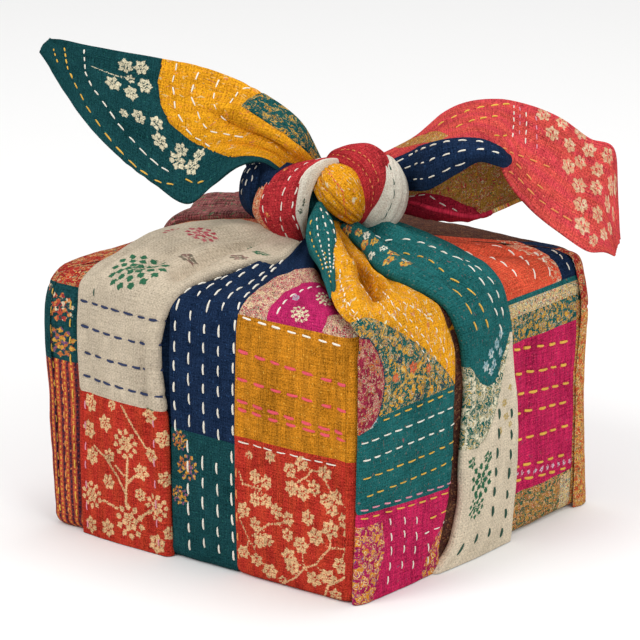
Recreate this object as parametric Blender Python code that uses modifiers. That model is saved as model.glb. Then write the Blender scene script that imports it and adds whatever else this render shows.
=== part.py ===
"""A box-shaped gift wrapped in one quilted patchwork cloth, whose corners are tied in a knot on top.

Metres, +Z up. The origin is the middle of the base, the front face is at -Y and the side face at +X.
The cloth is one piece, so it is one solid: the filled body that the cloth is drawn tight round, the
folded bands that climb two faces, the gathered strands on top, the turns of the knot and its two ears.
"""

import math
from collections import namedtuple

import bmesh
import bpy
import numpy as np
from mathutils import Matrix, Vector

MM = 0.001

# Driving sizes of the wrapped box
WIDTH = 160 * MM
DEPTH = 160 * MM
HEIGHT = 114 * MM
SIDE_RADIUS = 6 * MM
TOP_RADIUS = 9 * MM
BASE_RADIUS = 2.5 * MM
FACE_CUTS = 12
EDGE_CROWDING = 1.7
DOME_RISE = 6 * MM
FACE_CROWN = 1.0 * MM
LEFT_CROWN = 3.5 * MM

# How deep the bands and strands run into the body that they lie on
BAND_TUCK = 0.93
STRAND_FLOOR = 106 * MM
HEM_CLEARANCE = 0.5 * MM
HEM_ROUNDING = 4 * MM
HEM_DRAW_IN = 0.018

# Where the folds of a band begin above the floor, where they are at their highest, and how high
FOLD_START = 108 * MM
FOLD_FULL = 121 * MM
FOLD_HEIGHT = 2.6 * MM

# The knot sits over the middle of the top, turned so that its ears point at two corners of the box
KNOT_TURN = math.radians(38.5)
EAR_THICKNESS = 2.4 * MM

CLOTH_NAME = "wrapping_cloth"
CLOTH_COLOUR = (0.62, 0.13, 0.10, 1.0)
CLOTH_ROUGHNESS = 0.9

# A place on the cloth, in mm, in the box's own axes
Place = namedtuple("Place", "x y z")

# A place on the knot or an ear, in mm: along the knot to its right, towards its front, and up from the floor
Reach = namedtuple("Reach", "along front up")

# One barrel-shaped turn of the knot: its middle, half sizes, tilt in the front view and swing seen from above
Turn = namedtuple("Turn", "name along front up half_length half_depth half_height tilt swing pleats")

# The folded band that climbs the front face and gathers into the knot: left edge, fold, right edge
FRONT_BAND = [
    (Place(-61, -82.0, 0), Place(-37, -83.2, 0), Place(-12.5, -82.6, 0)),
    (Place(-61.5, -82.2, 55), Place(-38, -83.4, 55), Place(-14, -82.8, 55)),
    (Place(-62, -82.0, 101), Place(-39, -83.2, 100), Place(-15.5, -82.6, 100)),
    (Place(-62, -76.5, 114.5), Place(-39, -77.5, 115.5), Place(-16.5, -77.0, 114.5)),
    (Place(-62.5, -60, 118.5), Place(-40, -61, 119.5), Place(-20, -62, 118)),
    (Place(-62, -43, 121.5), Place(-38, -42, 121), Place(-21, -45, 120)),
    (Place(-55, -31, 126), Place(-32, -29, 123), Place(-19, -29, 121.5)),
    (Place(-40, -24, 131), Place(-25, -19, 125), Place(-14, -16, 124)),
    (Place(-26, -16, 133), Place(-16, -11, 127), Place(-6, -7, 128)),
]

# The wide flap round the front corner, which fans out of the knot: hem, corner fold, middle, far edge
FAN_FLAP = [
    (Place(74, -82.0, 0), Place(81.4, -81.2, 0), Place(82.8, -73, 0), Place(83.0, -42, 0), Place(82.4, -8, 0)),
    (Place(74, -82.2, 55), Place(81.8, -81.4, 55), Place(83.0, -73, 55), Place(83.2, -42, 55), Place(82.6, -8, 55)),
    (Place(74, -82, 100), Place(81.6, -81.2, 100), Place(83, -73, 100), Place(83.2, -42, 101), Place(82.6, -9, 101)),
    (Place(69, -77.5, 114.5), Place(76.5, -76.5, 114), Place(78, -70, 114.5), Place(78, -43, 116), Place(78.5, -10, 115.5)),
    (Place(54, -66, 119), Place(60, -63.5, 119), Place(62, -57, 118.5), Place(63, -38, 117), Place(64, -12, 119.5)),
    (Place(39, -52, 121.5), Place(44.5, -48.5, 121.5), Place(46, -42, 120.5), Place(46, -27, 118.5), Place(46, -5, 121.5)),
    (Place(25, -37, 124.5), Place(29.5, -34, 124.5), Place(31, -28, 123), Place(31, -16, 121), Place(31, 0, 123.5)),
    (Place(12, -23, 128.5), Place(16, -20, 128), Place(18, -15, 126), Place(18, -7, 124.5), Place(18, 3, 126)),
    (Place(3, -11, 131), Place(6, -9.5, 130.5), Place(8, -7.5, 130), Place(9, -4, 130), Place(10, 2, 129)),
]

# The strip that is folded back over the flap, down to the base of the side face
FOLDED_STRIP = [
    (Place(85.0, -22, 0), Place(85.8, 1, 0), Place(84.6, 22, 0)),
    (Place(85.4, -15.5, 42), Place(86.2, 6, 42), Place(85.0, 24.5, 42)),
    (Place(85.2, -13.5, 82), Place(86.0, 6, 82), Place(84.8, 22.5, 82)),
    (Place(84.4, -15.5, 101), Place(85.4, 1, 101), Place(84.4, 18, 101)),
    (Place(76, -22, 118.5), Place(77, -2, 120), Place(77, 17, 118.5)),
    (Place(60, -19, 122), Place(61, 1, 123.5), Place(61, 19, 120.5)),
    (Place(43, -8, 124), Place(44, 8, 125.5), Place(44, 25, 122.5)),
    (Place(27, 2, 126), Place(26, 14, 127), Place(25, 27, 125)),
    (Place(12, 6, 129), Place(11, 13, 130), Place(10, 20, 128)),
]

# The strand that comes over the left face from behind, and gathers into the back of the knot
BACK_STRAND = [
    (Place(-84.0, 44, 0), Place(-85.0, 18, 0), Place(-84.0, -8, 0)),
    (Place(-84.6, 44, 55), Place(-85.6, 18, 55), Place(-84.6, -8, 55)),
    (Place(-84.2, 43, 103), Place(-85.2, 18, 104), Place(-84.2, -7, 103)),
    (Place(-77, 42, 119), Place(-78, 20, 121), Place(-77, -3, 118)),
    (Place(-60, 36, 124), Place(-60, 21, 124), Place(-60, 3, 122)),
    (Place(-42, 27, 128), Place(-42, 17, 127), Place(-42, 5, 125)),
    (Place(-24, 16, 132), Place(-24, 10, 130), Place(-24, 4, 128)),
]

# The folded corner of the wrap, lapped along the far edge of the side face
CORNER_LAP = [
    (Place(81.8, 72.5, 0), Place(82.4, 77, 0), Place(80.5, 81.0, 0)),
    (Place(82.0, 74.5, 55), Place(82.6, 78, 55), Place(80.7, 81.4, 55)),
    (Place(81.8, 73.0, 102), Place(82.4, 77, 102), Place(80.5, 81.0, 102)),
    (Place(76.5, 72.0, 114), Place(77.0, 75.5, 114), Place(76.0, 78.5, 113.5)),
    (Place(64, 66.0, 115.5), Place(64, 70.0, 115.8), Place(64, 74.0, 115.3)),
    (Place(50, 58.0, 113), Place(50, 62.0, 113), Place(50, 66.0, 113)),
]

# The narrow gathered edge of the flap, hanging from the front of the knot
FRONT_STRAND = [
    Reach(-1, 14, 146),
    Reach(0, 21, 138),
    Reach(1, 25, 130),
    Reach(2.5, 32, 124),
    Reach(4.5, 45, 121.5),
    Reach(6.5, 58, 119),
    Reach(9, 72, 116),
]
FRONT_STRAND_WIDTHS = (5.5, 5.5, 5.2, 4.8, 4.4, 3.8, 2.6)

# The left ear, from inside the knot to its tip: upper edge, two folds, lower edge
LEFT_EAR = [
    (Reach(1, -4, 153), Reach(-3, 0, 151), Reach(-8, 2, 149), Reach(-12, 4, 146)),
    (Reach(-8, -4, 169), Reach(-12, 5, 165), Reach(-18, 5, 159), Reach(-24, 8, 155.5)),
    (Reach(-19, -7, 177.5), Reach(-24, 4, 172), Reach(-29, 4, 163), Reach(-34, 10, 154)),
    (Reach(-33, -9, 185), Reach(-37, 1, 176), Reach(-41, 4, 162), Reach(-44.5, 10, 146)),
    (Reach(-47.6, -10, 191), Reach(-50, -3, 177), Reach(-52, 2, 158), Reach(-53.8, 12, 139)),
    (Reach(-66, -9, 195.5), Reach(-67.5, -5, 182), Reach(-69, 0, 165), Reach(-70.4, 11, 149)),
    (Reach(-82.8, -7, 199), Reach(-84, -4, 188), Reach(-85.5, 0, 175), Reach(-87, 8, 162)),
    (Reach(-97.3, -4, 202.5), Reach(-98, -2, 194), Reach(-98.7, 1, 185), Reach(-99.4, 6, 176)),
    (Reach(-107.6, -1, 205.4), Reach(-108.2, 0, 201), Reach(-108.8, 1, 196), Reach(-109.3, 3, 191)),
    (Reach(-113.4, 0, 206), Reach(-114, 0, 205), Reach(-114.6, 1, 203), Reach(-115, 1, 201)),
]

# The right ear's outer face, from inside the knot over its arch and down to the tip
RIGHT_EAR = [
    (Reach(22, -6, 148), Reach(24, -3, 146), Reach(26, 0, 144)),
    (Reach(33, -10, 153), Reach(34, -6, 151), Reach(35, -1, 148)),
    (Reach(41.4, -13, 162), Reach(42.5, -9, 160), Reach(43.5, -2, 157)),
    (Reach(51.8, -14, 171), Reach(52.5, -9, 167), Reach(53, 0, 160)),
    (Reach(64.2, -14, 176), Reach(65.2, -8, 171), Reach(66.2, 3, 162)),
    (Reach(75, -13, 177), Reach(75, -6, 170), Reach(74.5, 6, 159)),
    (Reach(87, -11, 175), Reach(83.5, -3, 163), Reach(79.5, 9, 149.5)),
    (Reach(99.4, -8, 170.5), Reach(94, 0, 156), Reach(87.8, 11, 139.5)),
    (Reach(111.8, -4, 162.6), Reach(106, 3, 147), Reach(99.4, 12, 129.5)),
    (Reach(121.7, 0, 159), Reach(117, 6, 141), Reach(111.8, 13, 121)),
    (Reach(123, 4, 145), Reach(120, 9, 132), Reach(117.2, 14, 118.7)),
    (Reach(123.4, 11, 124), Reach(122.6, 13, 120), Reach(121.6, 14, 117)),
]

# The right ear's front edge, folded over towards the viewer and tapering to the fold's corner
FOLDED_EDGE = [
    (Reach(24, -4, 148), Reach(25, 4, 150), Reach(26, 8, 144), Reach(27, 7, 139)),
    (Reach(36, -6, 151), Reach(36.5, 4, 154.5), Reach(37, 12, 147), Reach(36.4, 9, 138.5)),
    (Reach(43.5, -9, 155), Reach(44, 4, 160), Reach(45, 14, 152), Reach(45.5, 10, 144)),
    (Reach(53.8, -7, 158.5), Reach(54, 6, 164), Reach(55, 14, 158), Reach(55.9, 10, 152)),
    (Reach(66.2, -4, 160), Reach(66.3, 8, 164.5), Reach(66.5, 14, 161), Reach(66, 11, 157.5)),
    (Reach(73, 0, 158), Reach(73.5, 9, 162), Reach(73.5, 12, 159.5), Reach(73, 10, 155)),
    (Reach(77.5, 1, 157), Reach(77.5, 4, 157), Reach(77.3, 6, 155), Reach(77, 5, 151.5)),
    (Reach(81, -5, 158), Reach(81, -3, 156), Reach(81, -1, 153), Reach(80.5, 0, 150)),
]

# The hollow under the right ear: its back wall, its belly and the lip that turns up at the front
UNDER_POUCH = [
    (Reach(22, -3, 143), Reach(24, -4, 137), Reach(25, 0, 132), Reach(26, 6, 134)),
    (Reach(35, -6, 146), Reach(35, -6, 136), Reach(34.5, 0, 130.5), Reach(34, 9, 137)),
    (Reach(50, -9, 154), Reach(50, -9, 140), Reach(50, -1, 131), Reach(49.5, 8, 135.5)),
    (Reach(64, -9, 158), Reach(64, -9, 144), Reach(64, -2, 132), Reach(64, 6, 134)),
    (Reach(74.5, -5, 158), Reach(75, -6, 147), Reach(75, -2, 135), Reach(74.5, 3, 135)),
    (Reach(80.5, 2, 150), Reach(81.5, 0, 145), Reach(82, 0, 138.5), Reach(82, 2, 138)),
    (Reach(84.5, 6, 143), Reach(85, 5, 142), Reach(85.5, 4, 140.5), Reach(85.8, 4, 140)),
]

# The turns of the knot; the core fills the middle of the others
KNOT_TURNS = [
    Turn("knot_core", 1, 0, 136, 30, 14, 17, 0, 0, 0),
    Turn("left_turn", -16.5, 1, 138.5, 13, 19, 19.5, 12, 10, 4),
    Turn("right_turn", 17, 0, 142, 13, 18, 19.5, -18, -14, 4),
    Turn("outer_turn", 27, -1, 137, 10.5, 17, 18, -14, -16, 3),
    Turn("loop_turn", -27, -7, 141, 7.5, 13, 12.5, 6, 10, 2),
    Turn("centre_turn", 6.5, 14, 141, 10.5, 9, 13, -26, 0, 3),
]


def clear_scene():
    """Remove what the startup scene holds."""
    for found in list(bpy.data.objects):
        bpy.data.objects.remove(found)


def make_collection(name):
    """A collection of this name, linked to the scene."""
    made = bpy.data.collections.new(name)
    bpy.context.scene.collection.children.link(made)
    return made


def cloth_material():
    """Quilted cotton in the patchwork's main red."""
    made = bpy.data.materials.new(CLOTH_NAME)
    made.use_nodes = True
    shader = made.node_tree.nodes["Principled BSDF"]
    shader.inputs["Base Color"].default_value = CLOTH_COLOUR
    shader.inputs["Roughness"].default_value = CLOTH_ROUGHNESS
    shader.inputs["Metallic"].default_value = 0.0
    return made


def object_from(name, mesh_data, collection):
    """A smooth-shaded object that holds a bmesh, which is freed."""
    mesh = bpy.data.meshes.new(name)
    bmesh.ops.recalc_face_normals(mesh_data, faces=mesh_data.faces)
    mesh_data.to_mesh(mesh)
    mesh_data.free()
    mesh.shade_smooth()
    made = bpy.data.objects.new(name, mesh)
    collection.objects.link(made)
    return made


def smooth_curve(points, count):
    """Points read at even steps along a Catmull-Rom curve through the given ones."""
    points = np.asarray(points, float)
    before = 2 * points[0] - points[1]
    after = 2 * points[-1] - points[-2]
    control = np.vstack([before, points, after])
    read = []
    for place in np.linspace(0, len(points) - 1, count):
        first = min(int(place), len(points) - 2)
        t = place - first
        a, b, c, d = control[first : first + 4]
        read.append(
            0.5 * (2 * b + (c - a) * t + (2 * a - 5 * b + 4 * c - d) * t**2 + (3 * b - a - 3 * c + d) * t**3)
        )
    return np.array(read)


def surface_grid(rows, along, across):
    """Points of a smooth surface through the rows, in metres, as an array of along by across points."""
    rows = np.array(rows, float) * MM
    crossed = np.array([smooth_curve(row, across) for row in rows])
    return np.stack([smooth_curve(crossed[:, j], along) for j in range(across)], axis=1)


def knot_to_box(points):
    """Turns places measured along, in front of and up the knot into the box's own axes."""
    points = np.asarray(points, float)
    along, front, up = points[..., 0], points[..., 1], points[..., 2]
    x = along * math.cos(KNOT_TURN) + front * math.sin(KNOT_TURN)
    y = along * math.sin(KNOT_TURN) - front * math.cos(KNOT_TURN)
    return np.stack([x, y, up], axis=-1)


def rounded(corner, x, y, z):
    """A point of a cube's surface moved to the rounded box: flat faces, with arcs in its edge zones."""
    radius = np.array([SIDE_RADIUS, SIDE_RADIUS, TOP_RADIUS if z > 0 else BASE_RADIUS])
    half = np.array(corner)
    point = np.array([x, y, z]) * half
    inner = np.clip(point, radius - half, half - radius)
    away = (point - inner) / radius
    length = np.linalg.norm(away)
    return inner + radius * away / length if length > 0 else point


def crowded(value):
    """Moves a cube's grid line towards its edge, so that the rounded edges get enough of them."""
    return math.copysign(1 - (1 - abs(value)) ** EDGE_CROWDING, value)


def draw_out(point):
    """Gives the box's faces their crown, and its top the rise towards the knot."""
    x, y, z = point
    half_x, half_y = WIDTH / 2, DEPTH / 2
    middle = math.sin(math.pi * min(max(z / HEIGHT, 0), 1))
    crown = LEFT_CROWN if x < 0 else FACE_CROWN
    x += math.copysign(crown, x) * middle * max(0, 1 - (y / half_y) ** 2) * abs(x / half_x) ** 4
    y += math.copysign(FACE_CROWN, y) * middle * max(0, 1 - (x / half_x) ** 2) * abs(y / half_y) ** 4
    on_top = min(max((z - HEIGHT + TOP_RADIUS) / TOP_RADIUS, 0), 1)
    reach = min(1, math.hypot(x / half_x, y / half_y) / 1.25)
    z += DOME_RISE * on_top * (1 - reach**2)
    return x, y, z


def make_body(collection):
    """The box under its first layers of cloth, as one soft-edged filled block with a flat base."""
    body = bmesh.new()
    bmesh.ops.create_cube(body, size=2)
    bmesh.ops.subdivide_edges(body, edges=body.edges[:], cuts=FACE_CUTS, use_grid_fill=True)
    corner = (WIDTH / 2, DEPTH / 2, HEIGHT / 2)
    for vertex in body.verts:
        point = rounded(corner, *(crowded(value) for value in vertex.co))
        point[2] += HEIGHT / 2
        vertex.co = draw_out(point)
    return object_from(CLOTH_NAME, body, collection)


def bridge_grids(outer, inner):
    """A closed bmesh between two grids of points that match one for one."""
    along, across = outer.shape[:2]
    solid = bmesh.new()
    sides = []
    for grid in (outer, inner):
        sides.append([[solid.verts.new(point) for point in row] for row in grid])
    for made in sides:
        for i in range(along - 1):
            for j in range(across - 1):
                solid.faces.new((made[i][j], made[i + 1][j], made[i + 1][j + 1], made[i][j + 1]))
    rim = [(i, 0) for i in range(along)] + [(along - 1, j) for j in range(1, across)]
    rim += [(i, across - 1) for i in range(along - 2, -1, -1)] + [(0, j) for j in range(across - 2, 0, -1)]
    for (i, j), (k, m) in zip(rim, rim[1:] + rim[:1]):
        solid.faces.new((sides[0][i][j], sides[0][k][m], sides[1][k][m], sides[1][i][j]))
    return solid


def lying_band(name, rows, collection, along=24, across=9, folds=1):
    """A band that lies on the body and runs a little way into it, so that the two make one solid.

    Its folds are deepest on the top, halfway between the edge of the box and the knot.
    """
    outer = surface_grid(rows, along, across)
    on_top = np.clip((outer[..., 2] - FOLD_START) / (FOLD_FULL - FOLD_START), 0, 1)
    wave = np.sin(math.pi * folds * np.linspace(0, 1, across)) ** 2
    outer[..., 2] = np.maximum(outer[..., 2] + FOLD_HEIGHT * on_top * wave, HEM_CLEARANCE)
    low = np.clip(1 - outer[..., 2] / HEM_ROUNDING, 0, 1)[..., None]
    outer[..., :2] *= 1 - HEM_DRAW_IN * low**2
    inner = outer.copy()
    inner[..., :2] *= BAND_TUCK
    inner[..., 2] = np.minimum(inner[..., 2], STRAND_FLOOR)
    return object_from(name, bridge_grids(outer, inner), collection)


def free_sheet(name, rows, collection, along, across):
    """A part of the cloth that stands free of the body, as thick as the quilted cloth."""
    grid = surface_grid(knot_to_box(rows), along, across)
    sheet = bmesh.new()
    made = [[sheet.verts.new(point) for point in row] for row in grid]
    for i in range(along - 1):
        for j in range(across - 1):
            sheet.faces.new((made[i][j], made[i + 1][j], made[i + 1][j + 1], made[i][j + 1]))
    piece = object_from(name, sheet, collection)
    thicken = piece.modifiers.new("cloth thickness", "SOLIDIFY")
    thicken.thickness = EAR_THICKNESS
    thicken.offset = 0
    return piece


def hanging_strand(name, places, widths, collection, along=18, around=10):
    """A gathered strand: a soft round roll that follows a curve and narrows as it goes."""
    line = smooth_curve(knot_to_box(places) * MM, along)
    radii = np.interp(np.linspace(0, 1, along), np.linspace(0, 1, len(widths)), widths) * MM
    strand = bmesh.new()
    rings = []
    for i, (centre, radius) in enumerate(zip(line, radii)):
        heading = Vector(line[min(i + 1, along - 1)] - line[max(i - 1, 0)]).normalized()
        side = heading.cross(Vector((0, 0, 1))).normalized()
        over = side.cross(heading)
        ring = []
        for k in range(around):
            angle = 2 * math.pi * k / around
            outward = side * math.cos(angle) + over * math.sin(angle)
            ring.append(strand.verts.new(Vector(centre) + float(radius) * outward))
        rings.append(ring)
    for first, second in zip(rings, rings[1:]):
        for k in range(around):
            m = (k + 1) % around
            strand.faces.new((first[k], first[m], second[m], second[k]))
    strand.faces.new(rings[0])
    strand.faces.new(rings[-1])
    return object_from(name, strand, collection)


def knot_turn(turn, collection, segments=24, rings=12):
    """One turn of the knot: a barrel with its pleats, tilted and swung about its middle."""
    barrel = bmesh.new()
    bmesh.ops.create_uvsphere(barrel, u_segments=segments, v_segments=rings, radius=1)
    for vertex in barrel.verts:
        across = vertex.co.z
        ring = math.hypot(vertex.co.x, vertex.co.y)
        plump = (1 - abs(across) ** 3) ** (1 / 3) / ring if ring > MM else 0
        pleat = 1 + 0.03 * math.cos(2 * math.pi * turn.pleats * across) if turn.pleats else 1
        vertex.co = Vector((across, -vertex.co.y * plump * pleat, vertex.co.x * plump * pleat))
    size = Matrix.Diagonal((turn.half_length * MM, turn.half_depth * MM, turn.half_height * MM, 1))
    lean = Matrix.Rotation(math.radians(turn.swing), 4, "Z") @ Matrix.Rotation(math.radians(turn.tilt), 4, "Y")
    middle = knot_to_box([turn.along, turn.front, turn.up]) * MM
    place = Matrix.Translation(Vector(middle)) @ Matrix.Rotation(KNOT_TURN, 4, "Z")
    bmesh.ops.transform(barrel, matrix=place @ lean @ size, verts=barrel.verts)
    return object_from(turn.name, barrel, collection)


def make_folds(collection):
    """Every band, strand, turn and ear, as closed shapes that overlap the body or one another."""
    lying_band("front_band", FRONT_BAND, collection, folds=2)
    lying_band("fan_flap", FAN_FLAP, collection, across=17, folds=3)
    lying_band("folded_strip", FOLDED_STRIP, collection, folds=2)
    lying_band("back_strand", BACK_STRAND, collection, along=20)
    lying_band("corner_lap", CORNER_LAP, collection, along=14, across=5)
    hanging_strand("front_strand", FRONT_STRAND, FRONT_STRAND_WIDTHS, collection)
    free_sheet("left_ear", LEFT_EAR, collection, along=24, across=12)
    free_sheet("right_ear", RIGHT_EAR, collection, along=24, across=9)
    free_sheet("folded_edge", FOLDED_EDGE, collection, along=16, across=9)
    free_sheet("under_pouch", UNDER_POUCH, collection, along=14, across=12)
    for turn in KNOT_TURNS:
        knot_turn(turn, collection)
    for piece in collection.objects:
        piece.hide_render = True
        piece.display_type = "WIRE"


def join_folds(body, folds):
    """Joins the folds to the body, because the cloth is one piece."""
    join = body.modifiers.new("one cloth", "BOOLEAN")
    join.operation = "UNION"
    join.operand_type = "COLLECTION"
    join.collection = folds
    join.solver = "EXACT"


def main():
    """Build the wrapped gift."""
    clear_scene()
    gift = make_collection("fabric-wrapped gift")
    folds = make_collection("folds joined to the cloth")
    body = make_body(gift)
    body.data.materials.append(cloth_material())
    make_folds(folds)
    join_folds(body, folds)


main()
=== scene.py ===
"""The fabric-wrapped gift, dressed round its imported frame.

Every part of the cloth is a fine sheet that lies in flat coordinates of its own, in mm: u runs across it
and v along it, from the base upwards or from the knot outwards. Patches, printed motifs, creases and rows
of stitches are all placed in those coordinates. Metres, +Z up, in the frame of the CAD.
"""

import logging
import math
from collections.abc import Sequence
from dataclasses import dataclass, field, replace
from enum import Enum

import bpy
import numpy as np
from mathutils import Matrix, Vector


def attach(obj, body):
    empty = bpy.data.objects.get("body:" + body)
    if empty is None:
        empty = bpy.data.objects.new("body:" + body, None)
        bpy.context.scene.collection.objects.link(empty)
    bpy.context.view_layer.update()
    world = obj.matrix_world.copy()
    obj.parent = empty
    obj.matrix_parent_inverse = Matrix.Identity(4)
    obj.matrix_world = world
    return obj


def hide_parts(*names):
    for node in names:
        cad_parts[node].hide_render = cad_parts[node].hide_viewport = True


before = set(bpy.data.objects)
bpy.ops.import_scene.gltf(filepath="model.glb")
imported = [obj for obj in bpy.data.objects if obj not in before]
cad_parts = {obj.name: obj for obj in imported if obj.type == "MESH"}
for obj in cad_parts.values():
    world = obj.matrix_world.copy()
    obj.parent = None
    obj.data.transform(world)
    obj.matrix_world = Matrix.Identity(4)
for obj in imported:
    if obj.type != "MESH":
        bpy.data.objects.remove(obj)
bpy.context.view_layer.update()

LOG = logging.getLogger("wrapped_gift")
CLOTH_NODE = "wrapping_cloth"
BODY = "root"
MM = 0.001
PRINT = "print"
FLAT_MAP = "flat"
OFF_PRINT = -2.0
KNOT_TURN = math.radians(38.5)
TO_MM = (1000.0, 1000.0, 1000.0)
WHITE_SKY = (1.0, 0.995, 0.985, 1.0)
PAPER = (0.9, 0.9, 0.9, 1.0)

# Lengths in mm
BEYOND = 500.0
HALF_BOX = 80
LOWEST = 0.25
WEAVE = 1.7
GORE_START, GORE_END = -16, 186
STITCH_LIFT = 0.12
STITCH_JITTER = 0.12

# One stitch, in parts of its own thickness
SLENDER = 4.6
ARCH_HEIGHT = 0.62
STITCH_FOOT = -0.42
THREAD_RADIUS = 0.44

Place = tuple[float, float]
Point = tuple[float, float, float]
Outline = tuple[Place, ...]


# Flat geometry


def through(points: np.ndarray, at: np.ndarray, want: np.ndarray) -> np.ndarray:
    """Reads a smooth curve that is known at uneven places.

    Args:
        points: The known points, one or more numbers each.
        at: The place of each known point along the curve, rising.
        want: The places to read.

    Returns:
        One point for each wanted place.
    """
    gaps = np.diff(at).reshape(-1, *[1] * (points.ndim - 1))
    slopes = np.diff(points, axis=0) / gaps
    lean = np.concatenate([slopes[:1], slopes[-1:]]) if len(at) == 2 else np.empty_like(points)
    if len(at) > 2:
        lean[0], lean[-1] = slopes[0], slopes[-1]
        lean[1:-1] = (slopes[:-1] * gaps[1:] + slopes[1:] * gaps[:-1]) / (gaps[:-1] + gaps[1:])
    first = np.clip(np.searchsorted(at, want, side="right") - 1, 0, len(at) - 2)
    t = np.clip((want - at[first]) / np.diff(at)[first], 0, 1).reshape(-1, *[1] * (points.ndim - 1))
    gap = gaps[first]
    start = (1 + 2 * t) * (1 - t) ** 2 * points[first] + t * (1 - t) ** 2 * gap * lean[first]
    end = t**2 * (3 - 2 * t) * points[first + 1] + t**2 * (t - 1) * gap * lean[first + 1]
    return start + end


def line_distance(line: Sequence[Place], u: np.ndarray, v: np.ndarray) -> tuple[np.ndarray, np.ndarray]:
    """Measures how far places lie from a line.

    Args:
        line: The line's corners.
        u: Places across the cloth.
        v: Places along the cloth.

    Returns:
        The distance to the line, and how far along the line its nearest point is.
    """
    best = np.full(u.shape, 1e9)
    along = np.zeros(u.shape)
    run = 0.0
    for (u0, v0), (u1, v1) in zip(line, line[1:]):
        length = math.hypot(u1 - u0, v1 - v0) or 1e-6
        t = np.clip(((u - u0) * (u1 - u0) + (v - v0) * (v1 - v0)) / length**2, 0, 1)
        gap = np.hypot(u - u0 - t * (u1 - u0), v - v0 - t * (v1 - v0))
        nearer = gap < best
        best = np.where(nearer, gap, best)
        along = np.where(nearer, run + t * length, along)
        run += length
    return best, along


def line_length(line: Sequence[Place]) -> float:
    """The length of a line of places."""
    return sum(math.dist(first, second) for first, second in zip(line, line[1:]))


def within(outline: Outline, u: np.ndarray, v: np.ndarray) -> np.ndarray:
    """Says which places lie inside a closed outline."""
    inside = np.zeros(u.shape, bool)
    for (u0, v0), (u1, v1) in zip(outline, outline[1:] + outline[:1]):
        if v0 == v1:
            continue
        crosses = (v0 > v) != (v1 > v)
        inside ^= crosses & (u < (u1 - u0) * (v - v0) / (v1 - v0) + u0)
    return inside


def span(u0: float, u1: float, v0: float, v1: float) -> Outline:
    """The outline of a rectangle."""
    return ((u0, v0), (u1, v0), (u1, v1), (u0, v1))


def uneven(u: np.ndarray, v: np.ndarray, cell_u: float, cell_v: float, seed: int) -> np.ndarray:
    """Smooth random heights from -1 to 1, in cells of the given sizes in mm."""
    lattice = np.random.default_rng(seed).uniform(-1, 1, (64, 64))
    across, along = u / cell_u + 500, v / cell_v + 500
    i, j = np.floor(across).astype(int), np.floor(along).astype(int)
    s, t = across - i, along - j
    s, t = s * s * (3 - 2 * s), t * t * (3 - 2 * t)
    i, j = i % 64, j % 64
    k, m = (i + 1) % 64, (j + 1) % 64
    near = lattice[i, j] * (1 - s) + lattice[k, j] * s
    far = lattice[i, m] * (1 - s) + lattice[k, m] * s
    return near * (1 - t) + far * t


def knot_to_box(points: np.ndarray) -> np.ndarray:
    """Turns places measured along, in front of and up the knot into the box's own axes."""
    along, front, up = points[..., 0], points[..., 1], points[..., 2]
    x = along * math.cos(KNOT_TURN) + front * math.sin(KNOT_TURN)
    y = along * math.sin(KNOT_TURN) - front * math.cos(KNOT_TURN)
    return np.stack([x, y, up], axis=-1)


# Motifs, creases and stitches


class Ink(Enum):
    """The four printed or woven colours that a sheet can carry over its ground."""

    FIRST = 0
    SECOND = 1
    THIRD = 2
    FOURTH = 3


@dataclass(frozen=True)
class Flower:
    """An open flower with a ring at its heart.

    Its place, its radius in mm, its petals, its turn in turns, and its ink.
    """

    place: Place
    radius: float = 4.0
    ink: Ink = Ink.FIRST
    petals: int = 7
    turn: float = 0.0

    def depth(self, u: np.ndarray, v: np.ndarray) -> np.ndarray:
        """How far inside the flower each place is, in mm."""
        across, along = u - self.place[0], v - self.place[1]
        reach = np.hypot(across, along)
        angle = (np.arctan2(along, across) / (2 * math.pi) - self.turn) * self.petals
        swing = (angle - np.round(angle)) * 2 * math.pi / self.petals
        share = np.clip(reach / self.radius, 0, 1)
        half = self.radius * 2.0 / self.petals * np.sin(math.pi * share**1.35) ** 0.6
        petal = np.minimum(half - np.abs(swing) * reach - 0.1, (self.radius - reach) * 0.7)
        petal = np.minimum(petal, reach - 0.22 * self.radius)
        return np.maximum(petal, 0.1 * self.radius - reach)

    def reach(self) -> tuple[Place, float]:
        """The middle and the radius of what the motif covers."""
        return self.place, self.radius + 2


@dataclass(frozen=True)
class Leaf:
    """A pointed leaf with toothed sides.

    Its foot, its length and half width in mm, its heading in turns, and its ink.
    """

    foot: Place
    length: float
    width: float
    heading: float
    ink: Ink = Ink.FIRST

    def depth(self, u: np.ndarray, v: np.ndarray) -> np.ndarray:
        """How far inside the leaf each place is, in mm."""
        angle = 2 * math.pi * self.heading
        across, along = u - self.foot[0], v - self.foot[1]
        run = across * math.cos(angle) + along * math.sin(angle)
        side = np.abs(-across * math.sin(angle) + along * math.cos(angle))
        share = np.clip(run / self.length, 0, 1)
        teeth = 1 - 0.34 * np.abs(np.sin(share * math.pi * max(2, self.length / 1.7)))
        half = self.width * np.sin(math.pi * share**0.8) ** 0.75 * teeth
        beyond = np.maximum(-run, run - self.length)
        return np.where(beyond > 0, -np.hypot(np.maximum(beyond, 0), side), (half - side) * 0.85)

    def reach(self) -> tuple[Place, float]:
        """The middle and the radius of what the motif covers."""
        angle = 2 * math.pi * self.heading
        half = self.length / 2
        middle = (self.foot[0] + half * math.cos(angle), self.foot[1] + half * math.sin(angle))
        return middle, half + self.width + 2


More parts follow.
